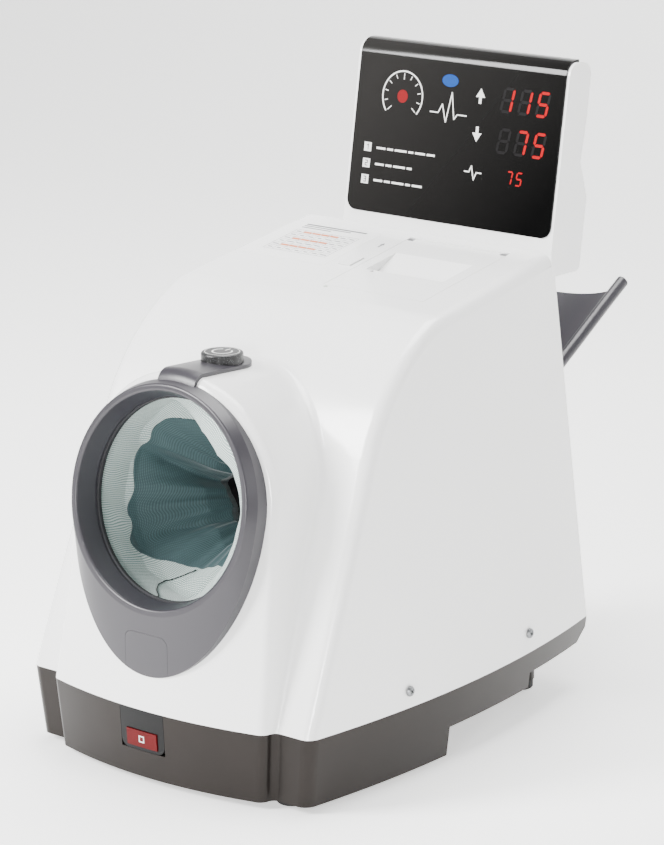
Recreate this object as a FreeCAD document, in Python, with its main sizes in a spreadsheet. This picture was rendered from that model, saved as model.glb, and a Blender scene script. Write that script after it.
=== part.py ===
import FreeCAD, Part
import math
import os
import re
import Sketcher
from FreeCAD import Placement, Rotation, Vector

# An automatic arm-in blood pressure monitor. X runs to the right seen from the front, Y runs to
# the back and Z up. Places along Y are drawn from a line just in front of the printer, and heights
# from a level inside the base tray. Both are moved, by centre_y and lift, so that the finished
# model stands on its feet, over the middle of its own footprint.

SIZES = {
    "centre_y": 38.12, "lift": 7,
    # casing: straight front edge, bowed sides, rear wall that leans forward
    "wall": 3, "seam_z": 53, "top_z": 365,
    "plan_front_y": -200, "bow_y": -46,
    "front_half": 139.5, "bow_half": 150, "rear_half": 121, "rear_y": 181, "rear_bow": 5,
    "top_front_half": 118.5, "top_bow_half": 128.5, "top_rear_half": 127, "top_rear_y": 117.5,
    "top_rear_bow": 0.8,
    "form_low": 13, "form_back": 205, "ridge_round": 10,
    # side profile: front slope, brow made of two arcs, top that falls to the front
    "slope_foot_y": -193.5, "slope_top_y": -116.8, "slope_top_z": 248.6,
    "brow_y": 33.7, "brow_z": 190.8, "brow_radius": 161.2, "brow_end": 62,
    "crown_radius": 60, "top_slope": 10,
    # nose that carries the cuff ring
    "lean": 9.9, "nose_radius": 97, "nose_z": 208, "nose_draft": 3.6, "nose_fall": 2.5,
    "nose_front_y": -219, "nose_bow": 409, "nose_round": 8, "nose_blend": 6,
    # base tray
    "tray_floor": -1.5, "mid_y": -33, "mid_floor": 22, "tail_y": 80, "tail_floor": 34.5,
    "tray_scale_x": 0.955, "tray_scale_y": 0.985,
    "foot_radius": 12, "front_foot_x": 106, "front_foot_y": -172, "rear_foot_x": 79,
    "rear_foot_y": 146, "rear_foot_high": 1, "stop_x": -3, "stop_round": 7,
    # cuff ring, apron and tongue
    "ring_y": -201.2, "ring_z": 212.2, "ring_outer": 90, "crest_outer": 86.4, "crest_inner": 81.6,
    "mouth": 77, "mouth_depth": 18.5, "hem_seat": 80, "ring_depth": 30,
    "apron_drop": 133.5, "plate_depth": 9, "plug": 86.9, "crest_round": 2.2,
    "tongue_half": 18, "tongue_end_y": -120, "tongue_thick": 3,
    "cap_half": 21, "cap_top": -101, "cap_round": 7,
    # arm tunnel
    "drum_inner": 84, "drum_radius": 86.6, "throat": 30,
    # buttons
    "start_y": -126.5, "start_radius": 16, "start_base_z": 295.8, "start_top_z": 312,
    "button_gap": 0.4,
    # display
    "display_left": -81, "display_right": 127, "glass_left": -78, "glass_right": 124.3,
    "display_lean": 8.8, "glass_y": 116.8, "glass_z": 374.8, "glass_corner": 9,
    "glass_top": 511, "glass_thick": 2.5, "glass_bend": 13,
    # printer
    "lid_top_z": 342.6,
    "lid_left": -2, "lid_right": 95.3, "lid_front_y": -5, "lid_long": 108.2, "lid_thick": 3,
    "barrel": 2.8, "roll_y": 66, "roll_z": 326, "roll_radius": 20, "platen_y": 14,
    "platen_z": 331, "platen_radius": 6, "feed_module": 1,
    "platen_teeth": 15, "feed_teeth": 21,
    "feed_y": 28, "feed_z": 319.7,
    # winding drive
    "spool_x": 100, "spool_z": 102, "motor_x": 76, "motor_z": 75, "drive_module": 1.5,
    "spool_teeth": 36, "pinion_teeth": 12,
    # elbow rest
    "rest_wall": 4, "lip": 5,
}

doc = FreeCAD.newDocument("ArmMonitor")
sheet = doc.addObject("Spreadsheet::Sheet", "sizes")
for row, (word, value) in enumerate(SIZES.items(), start=1):
    sheet.set(f"A{row}", word)
    sheet.set(f"B{row}", str(value))
    sheet.setAlias(f"B{row}", word)
doc.recompute()

NODES = []


def mm(word):
    """The number in one named cell of the sheet."""
    return float(sheet.get(word))


def formula(text):
    """An expression in which every word is a cell of the sheet."""
    return re.sub(r"[a-z]\w+", lambda word: "sizes." + word.group(0), str(text))


def at(x, y, z):
    """A point of the drawing, in the model's frame."""
    return Vector(x, y - mm("centre_y"), z + mm("lift"))


def bind(thing, **cells):
    for name, text in cells.items():
        thing.setExpression(name, formula(text))
    return thing


def place(thing, x, y, z, turn=Rotation()):
    """Puts a thing at a point of the drawing, bound to the sheet."""
    thing.Placement = Placement(Vector(), turn)
    thing.setExpression("Placement.Base.x", formula(x))
    thing.setExpression("Placement.Base.y", formula(f"{y} - centre_y"))
    thing.setExpression("Placement.Base.z", formula(f"{z} + lift"))
    return thing


def box(name, low, high):
    """A block between two corners."""
    block = doc.addObject("Part::Box", name)
    spans = [f"({top}) - ({bottom})" for bottom, top in zip(low, high)]
    bind(block, Length=spans[0], Width=spans[1], Height=spans[2])
    return place(block, *low)


def rod(name, start, radius, length, axis=Vector(0, 0, 1)):
    """A round bar that starts at a point and runs along an axis."""
    bar = doc.addObject("Part::Cylinder", name)
    bind(bar, Radius=radius, Height=length)
    return place(bar, *start, turn=Rotation(Vector(0, 0, 1), axis))


def fuse(name, *things):
    whole = doc.addObject("Part::MultiFuse", name)
    whole.Shapes = list(things)
    return whole


def cut(name, thing, *tools):
    """A thing less one tool or several."""
    hole = doc.addObject("Part::Cut", name)
    hole.Base = thing
    hole.Tool = tools[0] if len(tools) == 1 else fuse(name + "_tools", *tools)
    return hole


def common(name, thing, other):
    both = doc.addObject("Part::Common", name)
    both.Base = thing
    both.Tool = other
    return both


def group(name, *things):
    """Like pieces kept apart in one node."""
    many = doc.addObject("Part::Compound", name)
    many.Links = list(things)
    return many


def middle(edge):
    return edge.valueAt((edge.FirstParameter + edge.LastParameter) / 2)


def rounded(name, thing, radius, wanted):
    """Rounds the edges whose middle point passes the test."""
    doc.recompute()
    picked = [n for n, edge in enumerate(thing.Shape.Edges, start=1) if wanted(edge)]
    soft = doc.addObject("Part::Fillet", name)
    soft.Base = thing
    soft.Edges = [(n, mm(radius), mm(radius)) for n in picked]
    return soft


def drawn(body, plane, outline):
    """A closed outline on one of the body's own planes, each corner held by two dimensions."""
    sketch = body.newObject("Sketcher::SketchObject", body.Name + "_outline")
    origin = [f for f in body.Origin.OriginFeatures if f.Role == plane + "_Plane"][0]
    sketch.AttachmentSupport = [(origin, "")]
    sketch.MapMode = "FlatFace"
    last = len(outline)
    for n in range(last):
        sketch.addGeometry(Part.LineSegment(Vector(n, n * n, 0), Vector(n + 1, (n + 1) ** 2, 0)))
    for n in range(last):
        sketch.addConstraint(Sketcher.Constraint("Coincident", n, 2, (n + 1) % last, 1))
    for n, corner in enumerate(outline):
        for kind, value, axis in (("DistanceX", corner[0], -2), ("DistanceY", corner[1], -1)):
            if value == 0:
                sketch.addConstraint(Sketcher.Constraint("PointOnObject", n, 1, axis))
                continue
            held = sketch.addConstraint(Sketcher.Constraint(kind, -1, 1, n, 1, 1.0 + n))
            sketch.renameConstraint(held, f"{kind}{n}")
            sketch.setExpression(f"Constraints.{kind}{n}", formula(value))
    return sketch


def plate(name, plane, outline, thick, origin=(0, 0, 0), turn=Rotation(), reverse=False):
    """A flat piece: an outline pushed out square to its plane."""
    body = doc.addObject("PartDesign::Body", name)
    pad = body.newObject("PartDesign::Pad", name + "_pad")
    pad.Profile = drawn(body, plane, outline)
    pad.Reversed = reverse
    bind(pad, Length=thick)
    body.Tip = pad
    return place(body, *origin, turn=turn)


def turned(name, outline, origin, axis=Vector(0, 0, 1)):
    """A round piece: a half outline of (radius, height) turned about its axis."""
    body = doc.addObject("PartDesign::Body", name)
    sketch = drawn(body, "XZ", outline)
    spin = body.newObject("PartDesign::Revolution", name + "_turn")
    spin.Profile = sketch
    spin.ReferenceAxis = (sketch, ["V_Axis"])
    spin.Angle = 360
    body.Tip = spin
    return place(body, *origin, turn=Rotation(Vector(0, 0, 1), axis))


def shaped(name, shape):
    """A form that only curve and surface functions can make."""
    form = doc.addObject("Part::Feature", name)
    form.Shape = shape
    return form


def node(label, thing):
    thing.Label = label
    NODES.append(thing)
    return thing


BACK = Vector(0, 1, 0)
RIGHT = Vector(1, 0, 0)
LEAN = math.radians(mm("lean"))
TUNNEL = Vector(0, math.cos(LEAN), -math.sin(LEAN))
RING_TURN = Rotation(RIGHT, 90 - mm("lean"))
RING_AT = (0, "ring_y", "ring_z")
SEAM = mm("seam_z") + mm("lift")


# ---------------------------------------------------------------------------------------------
# Casing form. The outer skin and the hollow inside it are the same form, the second drawn smaller.

def bent(start, through, end):
    return Part.Arc(start, through, end).toShape()


def casing_plan(z, front, bow, rear, rear_y, rear_bow):
    """Outline of the casing at one height."""
    front_y = mm("plan_front_y")
    bow_y = mm("bow_y")
    left = at(-front, front_y, z)
    right = at(front, front_y, z)
    rear_right = at(rear, rear_y, z)
    rear_left = at(-rear, rear_y, z)
    return Part.Wire([
        Part.makeLine(left, right),
        bent(right, at(bow, bow_y, z), rear_right),
        bent(rear_right, at(0, rear_y + rear_bow, z), rear_left),
        bent(rear_left, at(-bow, bow_y, z), left),
    ])


def side_profile():
    """Outline of the casing seen from its side, open well below the seam and behind the rear wall."""
    turn = mm("brow_radius")
    rise = math.tan(math.radians(mm("top_slope")))

    def brow(heading):
        angle = math.radians(heading)
        return mm("brow_y") - turn * math.cos(angle), mm("brow_z") + turn * math.sin(angle)

    def crown(heading):
        start = math.radians(mm("brow_end"))
        angle = math.radians(heading)
        y, z = brow(mm("brow_end"))
        radius = mm("crown_radius")
        return (y + radius * (math.cos(start) - math.cos(angle)),
                z + radius * (math.sin(angle) - math.sin(start)))

    foot = (mm("slope_foot_y"), mm("seam_z"))
    hip = (mm("slope_top_y"), mm("slope_top_z"))
    lean = (hip[0] - foot[0]) / (hip[1] - foot[1])
    low_z = foot[1] - mm("form_low")
    low = (foot[0] - mm("form_low") * lean, low_z)
    brow_mid = brow((21 + mm("brow_end")) / 2)
    brow_top = brow(mm("brow_end"))
    level = 90 - mm("top_slope")
    crown_mid = crown((mm("brow_end") + level) / 2)
    crown_top = crown(level)
    back_y = mm("form_back")
    back = (back_y, crown_top[1] + (back_y - crown_top[0]) * rise)
    flat = [at(0, *point) for point in (low, hip, brow_mid, brow_top, crown_mid, crown_top, back)]
    floor = at(0, back_y, low_z)
    return Part.Wire([
        Part.makeLine(flat[0], flat[1]),
        bent(flat[1], flat[2], flat[3]),
        bent(flat[3], flat[4], flat[5]),
        Part.makeLine(flat[5], flat[6]),
        Part.makeLine(flat[6], floor),
        Part.makeLine(floor, flat[0]),
    ])


def hull_form(inset):
    """The casing without its nose."""
    lower = casing_plan(mm("seam_z"), mm("front_half") - inset, mm("bow_half") - inset,
                        mm("rear_half") - inset, mm("rear_y") - inset, mm("rear_bow"))
    upper = casing_plan(mm("top_z") + 20, mm("top_front_half") - inset - 1,
                        mm("top_bow_half") - inset - 1, mm("top_rear_half") - inset,
                        mm("top_rear_y") - inset - 3.5, mm("top_rear_bow"))
    barrel = Part.makeLoft([lower, upper], True, True)
    profile = side_profile()
    if inset:
        profile = profile.makeOffset2D(-inset)
    slab = Part.Face(profile).extrude(Vector(360, 0, 0))
    slab.translate(Vector(-180, 0, 0))
    form = barrel.common(slab)
    ridges = [edge for edge in form.Edges if is_ridge(edge)]
    return form.makeFillet(mm("ridge_round") - inset, ridges)


def is_ridge(edge):
    """Whether an edge runs along the top of a side wall."""
    point = middle(edge)
    y = point.y + mm("centre_y")
    wide = abs(point.x) > 100
    return wide and edge.Length > 15 and point.z > SEAM + 5 and y < 100


def nose_prism(inset):
    """The arched bar that the nose is cut from, falling slightly to the back."""
    radius = mm("nose_radius") - inset
    draft = math.radians(mm("nose_draft"))
    centre_z = mm("nose_z")
    side = radius * math.cos(draft)
    side_z = centre_z + radius * math.sin(draft)
    low_z = mm("seam_z") - 15
    low_side = side + (side_z - low_z) * math.tan(draft)
    start_y = -190
    left, right = at(-side, start_y, side_z), at(side, start_y, side_z)
    low_left, low_right = at(-low_side, start_y, low_z), at(low_side, start_y, low_z)
    arch = Part.Wire([
        Part.makeLine(low_left, left),
        bent(left, at(0, start_y, centre_z + radius), right),
        Part.makeLine(right, low_right),
        Part.makeLine(low_right, low_left),
    ])
    fall = math.radians(mm("nose_fall"))
    along = Vector(0, math.cos(fall), -math.sin(fall))
    bar = Part.Face(arch).extrude(along * 190)
    bar.translate(along * -60)
    return bar


def nose_face(inset):
    """The leaning round column whose front is the nose's bowed face."""
    up = Vector(0, math.sin(LEAN), math.cos(LEAN))
    foot = at(0, mm("nose_front_y") + inset + mm("nose_bow") * math.cos(LEAN),
              mm("seam_z") - mm("nose_bow") * math.sin(LEAN))
    return Part.makeCylinder(mm("nose_bow"), 640, foot - up * 60, up)


def nose_form(inset, radius):
    form = nose_prism(inset).common(nose_face(inset))
    if radius:
        column = nose_face(inset).Faces[0]
        front = [edge for edge in form.Edges
                 if middle(edge).z > SEAM
                 and column.distToShape(Part.Vertex(middle(edge)))[0] < 0.001
                 and middle(edge).y + mm("centre_y") < -150]
        form = form.makeFillet(radius, front)
    return form


def casing_form(inset, rounds):
    """Hull and nose as one solid, cut level at the seam."""
    hull = hull_form(inset)
    nose = nose_form(inset, mm("nose_round") if rounds else 0)
    seam = Part.makeBox(600, 800, 400, at(-300, -400, mm("seam_z")))
    nose = nose.common(seam)
    form = hull.fuse(nose).removeSplitter()
    if rounds:
        hull_skin, nose_skin = hull.Shells[0], nose.Shells[0]
        valley = []
        for edge in form.Edges:
            point = Part.Vertex(middle(edge))
            on_both = (hull_skin.distToShape(point)[0] < 0.001
                       and nose_skin.distToShape(point)[0] < 0.001)
            if on_both and point.Z > SEAM + 1:
                valley.append(edge)
        form = form.makeFillet(mm("nose_blend"), valley)
    return form


casing_outer = shaped("casing_outer", casing_form(0, True))
casing_inner = shaped("casing_inner", casing_form(mm("wall"), False))


def skin_x(y, z):
    """Half width of the casing at a height and a place along its side."""
    ray = Part.makeLine(at(0, y, z), at(200, y, z))
    return max(vertex.X for vertex in ray.common(casing_outer.Shape).Vertexes)



TOP_TURN = Rotation(RIGHT, mm("top_slope"))
TOP_PLACE = Placement(at(0, mm("lid_front_y"), mm("lid_top_z")), TOP_TURN)
RING_PLACE = Placement(at(0, mm("ring_y"), mm("ring_z")), RING_TURN)
DISPLAY_PLACE = Placement(at(0, mm("glass_y"), mm("glass_z")),
                          Rotation(RIGHT, -mm("display_lean")))


def tilt(frame, name, *things):
    """Things drawn about the origin, carried together into a frame of their own."""
    tilted = group(name, *things)
    tilted.Placement = frame
    return tilted


def block_in(frame, name, low, high):
    """A block between two corners of a tilted frame."""
    low, high = ((x, f"{y} + centre_y", f"{z} - lift") for x, y, z in (low, high))
    return tilt(frame, name, box(name + "_block", low, high))


def rod_in(frame, name, start, radius, length, axis=Vector(0, 0, 1)):
    """A round bar in a tilted frame."""
    x, y, z = start
    start = (x, f"{y} + centre_y", f"{z} - lift")
    return tilt(frame, name, rod(name + "_bar", start, radius, length, axis))


def plate_in(frame, name, outline, left, width):
    """A side outline in (Y, Z) of a tilted frame, pushed out along its X."""
    origin = (left, "centre_y", "-lift")
    return tilt(frame, name, plate(name + "_plate", "YZ", outline, width, origin))


def moved(name, shape, x=0.0, y=0.0, z=0.0):
    """A copy of a shape, shifted."""
    copy = shape.copy()
    copy.translate(Vector(x, y, z))
    return shaped(name, copy)


def skin_point(x, z):
    """The point of the rear wall's outside at one place, in the model's frame."""
    ray = Part.makeLine(at(x, 60, z), at(x, 250, z))
    inside = ray.common(casing_outer.Shape)
    return Vector(x, max(vertex.Y for vertex in inside.Vertexes), z + mm("lift"))


def rear_frame(x, z):
    """A frame on the rear wall: X along it, Y straight out of it, Z up it."""
    across = skin_point(x + 10, z) - skin_point(x - 10, z)
    up = skin_point(x, z + 5) - skin_point(x, z - 5)
    return Placement(skin_point(x, z), Rotation(across, up.cross(across), up, "YXZ"))


# ---------------------------------------------------------------------------------------------
# Upper shell: white moulded cover, open below, with holes for the ring, the start button, the
# printer, the feed button, the rear cover and four side screws.

shell_wall = cut("shell_wall", casing_outer, casing_inner)
ring_hole = rod("ring_hole", RING_AT, "plug + 0.5", 60, TUNNEL)
start_hole = rod("start_hole", (0, "start_y", 280), "start_radius + button_gap", 50)
lid_hole = block_in(TOP_PLACE, "lid_hole", ("lid_left - 0.4", -0.4, -20),
                    ("lid_right + 0.4", "lid_long + barrel + 0.4", 20))
feed_hole = block_in(TOP_PLACE, "feed_hole", (-20.3, 39.6, -20), (-7.3, 57.8, 20))
light_hole = rod_in(TOP_PLACE, "light_hole", (2.6, -3.2, -20), 1.7, 40)
film_under = moved("film_under", casing_outer.Shape, z=-0.6)
panel_seat = cut("panel_seat", block_in(TOP_PLACE, "panel_zone", (-121.2, 33.8, -30),
                                        (-29.8, 108.2, 20)), film_under)
rear_window = box("rear_window", (-104, 90, 66), (104, 220, 336))
SIDE_SCREWS = [(-87, 66), (75, 69)]
side_holes = [rod(f"side_hole_{n}", (-200, y, z), 2.4, 400, RIGHT)
              for n, (y, z) in enumerate(SIDE_SCREWS)]
DISPLAY_SCREWS = [rear_frame(x, 353) for x in (-60, 112)]
display_holes = [rod_in(frame, f"display_hole_{n}", (0, -10, 0), 2.2, 20, BACK)
                 for n, frame in enumerate(DISPLAY_SCREWS)]
rear_tabs = [box(f"rear_tab_{x}_{z}", (x - 12, 60, z - 10), (x + 12, 220, z + 10))
             for x in (-98, 98) for z in (112, 318)]
tabs_behind = cut("tabs_behind", common("tabs_inside", casing_inner,
                                        fuse("rear_tabs", *rear_tabs)),
                  moved("tabs_front", casing_inner.Shape, y=-4))
REAR_SCREWS = [rear_frame(x, z) for x in (-96, 96) for z in (112, 318)]
tab_screw_bores = [rod_in(frame, f"tab_screw_bore_{n}", (0, -12, 0), 1.75, 14, BACK)
                   for n, frame in enumerate(REAR_SCREWS)]
shell_moulding = fuse("shell_moulding", cut("shell_open", shell_wall, rear_window), tabs_behind)
node("upper_shell", cut("shell_cut", shell_moulding, ring_hole, start_hole, lid_hole, feed_hole,
                        light_hole, panel_seat, *side_holes, *display_holes, *tab_screw_bores))

# Rear cover: infill of the window, with the arched way out for the forearm and the sockets.
rear_blank = common("rear_blank", shell_wall,
                    box("rear_pane", (-103.7, 91, 66.3), (103.7, 219, 335.7)))
arch_top = rod("arch_top", (0, 90, 226), 80, 130, BACK)
arch_low = box("arch_low", (-80, 90, 168), (80, 220, 226))
INLET = rear_frame(-64, 88)
ROCKER = rear_frame(-18, 88)
PORT = rear_frame(27, 86)
GRILLE = rear_frame(77, 88)
inlet_hole = block_in(INLET, "inlet_hole", (-24, -20, -14), (24, 20, 14))
rocker_hole = block_in(ROCKER, "rocker_hole", (-10, -20, -14), (10, 20, 14))
port_hole = block_in(PORT, "port_hole", (-15, -20, -5), (15, 20, 5))
grille_slots = [block_in(GRILLE, f"grille_slot_{n}", (-15, -20, 5 * n - 15), (15, 20, 5 * n - 12.5))
                for n in range(6)]
rear_holes = [rod_in(frame, f"rear_hole_{n}", (0, -10, 0), 2, 20, BACK)
              for n, frame in enumerate(REAR_SCREWS)]
node("rear_cover", cut("rear_cover_cut", rear_blank, arch_top, arch_low, inlet_hole, rocker_hole,
                       port_hole, *grille_slots, *rear_holes))

# ---------------------------------------------------------------------------------------------
# Base tray: grey moulded hull under the seam, deep at the front and stepped up to the back, with
# posts for the chassis, tabs for the side screws and two pedestals for the rear feet.

def tray_form(form):
    """A hull that narrows from the casing's outline at the seam down to the tray's floor."""
    rim = form.slice(Vector(0, 0, 1), SEAM + 0.02)[0]
    rim.translate(Vector(0, 0, -0.02))
    narrow = FreeCAD.Matrix()
    narrow.scale(mm("tray_scale_x"), mm("tray_scale_y"), 1)
    floor = rim.transformGeometry(narrow)
    floor.translate(Vector(0, 0, mm("tray_floor") - mm("seam_z")))
    return Part.makeLoft([rim, floor], True, True)


tray_outer = shaped("tray_outer", tray_form(casing_outer.Shape))
tray_inner = shaped("tray_inner", tray_form(casing_inner.Shape))
step_mid = box("step_mid", (-200, "mid_y", -10), (200, 250, "mid_floor"))
step_tail = box("step_tail", (-200, "tail_y", -10), (200, 250, "tail_floor"))
step_end = plate("step_end", "YZ", [(158, 30), (205, 30), (205, 59)], 400, (-200, 0, 0))
tray_steps = cut("tray_steps", tray_outer, step_mid, step_tail, step_end)
hollow_floor = box("hollow_floor", (-200, -250, -10), (200, 250, "tray_floor + wall"))
hollow_mid = box("hollow_mid", (-200, "mid_y - wall", -10), (200, 250, "mid_floor + wall"))
hollow_tail = box("hollow_tail", (-200, "tail_y - wall", -10), (200, 250, "tail_floor + wall"))
hollow_end = plate("hollow_end", "YZ", [(151, 30), (205, 30), (205, 64)], 400, (-200, 0, 0))
tray_hollow = cut("tray_hollow", tray_inner, hollow_floor, hollow_mid, hollow_tail, hollow_end)
tray_wall = cut("tray_wall", tray_steps, tray_hollow)
CHASSIS_SCREWS = [(-95, -130), (95, -130), (-95, 60), (95, 60)]
CHASSIS_Z = 56
post_foot = {-130: 0, 60: 23}
posts = [rod(f"post_{n}", (x, y, post_foot[y]), 6, CHASSIS_Z - post_foot[y])
         for n, (x, y) in enumerate(CHASSIS_SCREWS)]
post_bores = [rod(f"post_bore_{n}", (x, y, 42), 1.95, 20)
              for n, (x, y) in enumerate(CHASSIS_SCREWS)]
pedestals = [rod(f"pedestal_{side}", (f"{side} * rear_foot_x", "rear_foot_y", "rear_foot_high"),
                 "foot_radius + 1", "tail_floor + 2 - rear_foot_high") for side in (-1, 1)]
tabs = []
for y, z in SIDE_SCREWS:
    reach = min(skin_x(y + end, z + 8) for end in (-9, 9)) - mm("wall") - 0.4
    for side in (-1, 1):
        low_x, high_x = sorted((side * reach, side * (reach - 9)))
        tabs.append(box(f"tab_{side}_{y}", (low_x, y - 9, 36), (high_x, y + 9, z + 8)))
tab_bores = [rod(f"tab_bore_{n}", (-200, y, z), 1.95, 400, RIGHT)
             for n, (y, z) in enumerate(SIDE_SCREWS)]
stop_opening = box("stop_opening", ("stop_x - 22", -240, 19.7), ("stop_x + 22", -190, 60))
tray_whole = fuse("tray_whole", tray_wall, *posts, *pedestals, *tabs)
node("base_tray", cut("tray_cut", tray_whole, stop_opening, *post_bores, *tab_bores))

feet = []
for end, tall in (("front", "tray_floor"), ("rear", "rear_foot_high")):
    for side in (-1, 1):
        top = f"{tall} + lift"
        feet.append(turned(f"{end}_foot_{side}",
                           [(0, 0), ("foot_radius - 1", 0), ("foot_radius", 1),
                            ("foot_radius", top), (0, top)],
                           (f"{side} * {end}_foot_x", f"{end}_foot_y", "-lift")))
node("rubber_feet", group("feet", *feet))

# Emergency stop: a black surround let into the base's front and a red push button in it. Both
# follow the tray's curved front.
stop_frame = box("stop_frame", ("stop_x - 21.7", -240, 20), ("stop_x + 21.7", -190, "seam_z - 0.2"))
stop_frame_round = rounded("stop_frame_round", stop_frame, "stop_round",
                           lambda edge: middle(edge).z < mm("lift") + 21 and edge.Length > 45)
stop_skin = common("stop_skin", tray_outer, stop_frame_round)
stop_back = moved("stop_back", tray_outer.Shape, y=6)
stop_way = box("stop_way", ("stop_x - 15.4", -240, 22.6), ("stop_x + 15.4", -190, 36.4))
node("emergency_surround", cut("stop_surround", stop_skin, stop_back, stop_way))
stop_front = moved("stop_front", tray_outer.Shape, y=-1)
stop_heel = moved("stop_heel", tray_outer.Shape, y=9)
stop_block = box("stop_block", ("stop_x - 15", -240, 23), ("stop_x + 15", -190, 36))
stop_body = cut("stop_body", common("stop_cap", stop_front, stop_block), stop_heel)
node("emergency_button", stop_body)
stop_case = box("stop_case", ("stop_x - 12", -202.9, 20), ("stop_x + 12", -188, 40))
stop_pillar = box("stop_pillar", ("stop_x - 8", -202, 1.6), ("stop_x + 8", -190, 20))
node("emergency_switch", fuse("stop_switch", stop_case, stop_pillar))

# ---------------------------------------------------------------------------------------------
# Cuff ring: grey moulding with a round crest, an apron drawn down over the nose, a conical mouth
# and a tongue that runs back over the nose to the start button.

def ring_outline(depth):
    """Round over the top and drawn out below, at a depth behind the crest."""
    outer = mm("ring_outer")
    left, right = Vector(-outer, 0, -depth), Vector(outer, 0, -depth)
    oval = Part.Ellipse(Vector(0, -mm("apron_drop"), -depth), right, Vector(0, 0, -depth))
    low = Part.ArcOfEllipse(oval, -math.pi / 2, math.pi / 2).toShape()
    return Part.Wire(Part.sortEdges([bent(left, Vector(0, outer, -depth), right), low])[0])


def ring_form():
    crest = mm("crest_outer")
    left, right = Vector(-crest, 0, 0), Vector(crest, 0, 0)
    circle = Part.Wire(Part.sortEdges([bent(left, Vector(0, crest, 0), right),
                                       bent(right, Vector(0, -crest, 0), left)])[0])
    depth = mm("plate_depth")
    slope = Part.makeLoft([ring_outline(depth), circle], True, True)
    skirt = Part.Face(ring_outline(depth)).extrude(Vector(0, 0, depth - mm("ring_depth")))
    lip_depth = mm("mouth_depth") - 2
    cone = Part.makeCone(mm("mouth"), mm("crest_inner"), lip_depth, Vector(0, 0, -lip_depth))
    throat = Part.makeCylinder(mm("mouth"), 60, Vector(0, 0, -60))
    seat = Part.makeCylinder(mm("hem_seat"), 60, Vector(0, 0, -60 - mm("mouth_depth")))
    ring = slope.fuse(skirt).cut(cone.fuse(throat).fuse(seat))
    crest_edges = [edge for edge in ring.Edges
                   if abs(middle(edge).z) < 0.01 and edge.BoundBox.ZLength < 0.01]
    return ring.makeFillet(mm("crest_round"), crest_edges)


ring_raw = shaped("ring_raw", ring_form())
ring_raw.Placement = RING_PLACE
plug_core = rod("plug_core", RING_AT, "plug", 100, TUNNEL)
nose_plain = shaped("nose_plain", nose_form(0, 0))
ring_fitted = cut("ring_fitted", ring_raw, cut("nose_around_plug", nose_plain, plug_core))
tongue_skin = shaped("tongue_skin", nose_form(-mm("tongue_thick"),
                                              mm("nose_round") + mm("tongue_thick")))
tongue_plan = fuse("tongue_plan",
                   box("tongue_bar", ("-tongue_half", -230, "ring_z + 82.5"),
                       ("tongue_half", "tongue_end_y", 330)),
                   rod("tongue_tip", (0, "tongue_end_y", 270), "tongue_half", 60))
tongue_band = common("tongue_band", tongue_skin, tongue_plan)
tongue = cut("tongue", cut("tongue_bored", tongue_band, start_hole), casing_outer)


def cap_form(name, gap):
    """The service cap's block, with its two upper corners rounded."""
    block = block_in(RING_PLACE, name + "_block", (f"-cap_half - {gap}", -145, -40),
                     (f"cap_half + {gap}", f"cap_top + {gap}", 10))
    top = RING_PLACE.multVec(Vector(0, mm("cap_top"), 0))
    up = RING_PLACE.Rotation.multVec(Vector(0, 1, 0))
    return rounded(name, block, "cap_round",
                   lambda edge: (middle(edge) - top).dot(up) > -1 and abs(middle(edge).x) > 15)


cap_way = cap_form("cap_way", 0.2)
ring_whole = fuse("ring_whole", ring_fitted, tongue)
ring_cut = node("cuff_ring", cut("ring_cut", ring_whole, cap_way))
# Its blended faces stay as they were cut, none merged with the next.
for step in (ring_fitted, ring_whole, ring_cut):
    step.Refine = False
cap_block = cap_form("cap_shape", 0)
node("service_cap", common("cap_cut", ring_fitted, cap_block))

# ---------------------------------------------------------------------------------------------
# Arm tunnel: a moulded drum on two cradles, an air bladder against its wall, and the cuff cloth
# that hangs inside, drawn in to a narrow throat. All of them are round about the tunnel's axis.

def around_tunnel(name, outline):
    """A round piece; its outline is in (radius, depth behind the crest)."""
    return turned(name, outline, RING_AT, TUNNEL)


def tube(name, start, inner, outer, length, axis=Vector(0, 0, 1)):
    """A plain length of pipe."""
    return turned(name, [(inner, 0), (outer, 0), (outer, length), (inner, length)], start, axis)


DRUM_FRONT, DRUM_BACK = 30.2, 148
drum_tube = around_tunnel("drum_tube", [("drum_inner", DRUM_FRONT), ("drum_radius", DRUM_FRONT),
                                        ("drum_radius", DRUM_BACK), ("drum_inner", DRUM_BACK)])
nipple = cut("nipple", rod("nipple_bar", (-39, -85, 106), 2.4, 18),
             around_tunnel("nipple_end", [(0, DRUM_FRONT), ("drum_inner + 1", DRUM_FRONT),
                                          ("drum_inner + 1", DRUM_BACK), (0, DRUM_BACK)]))
node("cuff_drum", fuse("drum", drum_tube, nipple))
node("cuff_bladder", around_tunnel("bladder", [(80.2, 32), (81.2, 31), (83.7, 31), (83.7, 143),
                                               (81.2, 143), (80.2, 142)]))
node("cuff_hem", around_tunnel("hem", [(75.8, 19.4), (76.6, 18.7), (79.5, 18.7), (79.7, 19.4),
                                       (79.7, 22.4), (75.8, 22.4)]))
node("cuff_lining", around_tunnel("lining", [(77.8, 22.7), (79.9, 22.7), (79.9, 112), (77.8, 112)]))
node("cuff_sleeve", around_tunnel("sleeve", [
    (73.2, 48), (75.2, 48), (71, 62), (56.5, 79), (39.2, 101), (32.4, 118), (38, 132),
    (62, 141), (82.5, 144), (82.5, 146), (60, 143), (36, 134), ("throat", 118), (37, 100),
    (54.6, 78), (69.2, 61)]))
drum_room = around_tunnel("drum_room", [(0, 0), ("drum_radius", 0), ("drum_radius", 200),
                                        (0, 200)])
cradles = []
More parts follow.
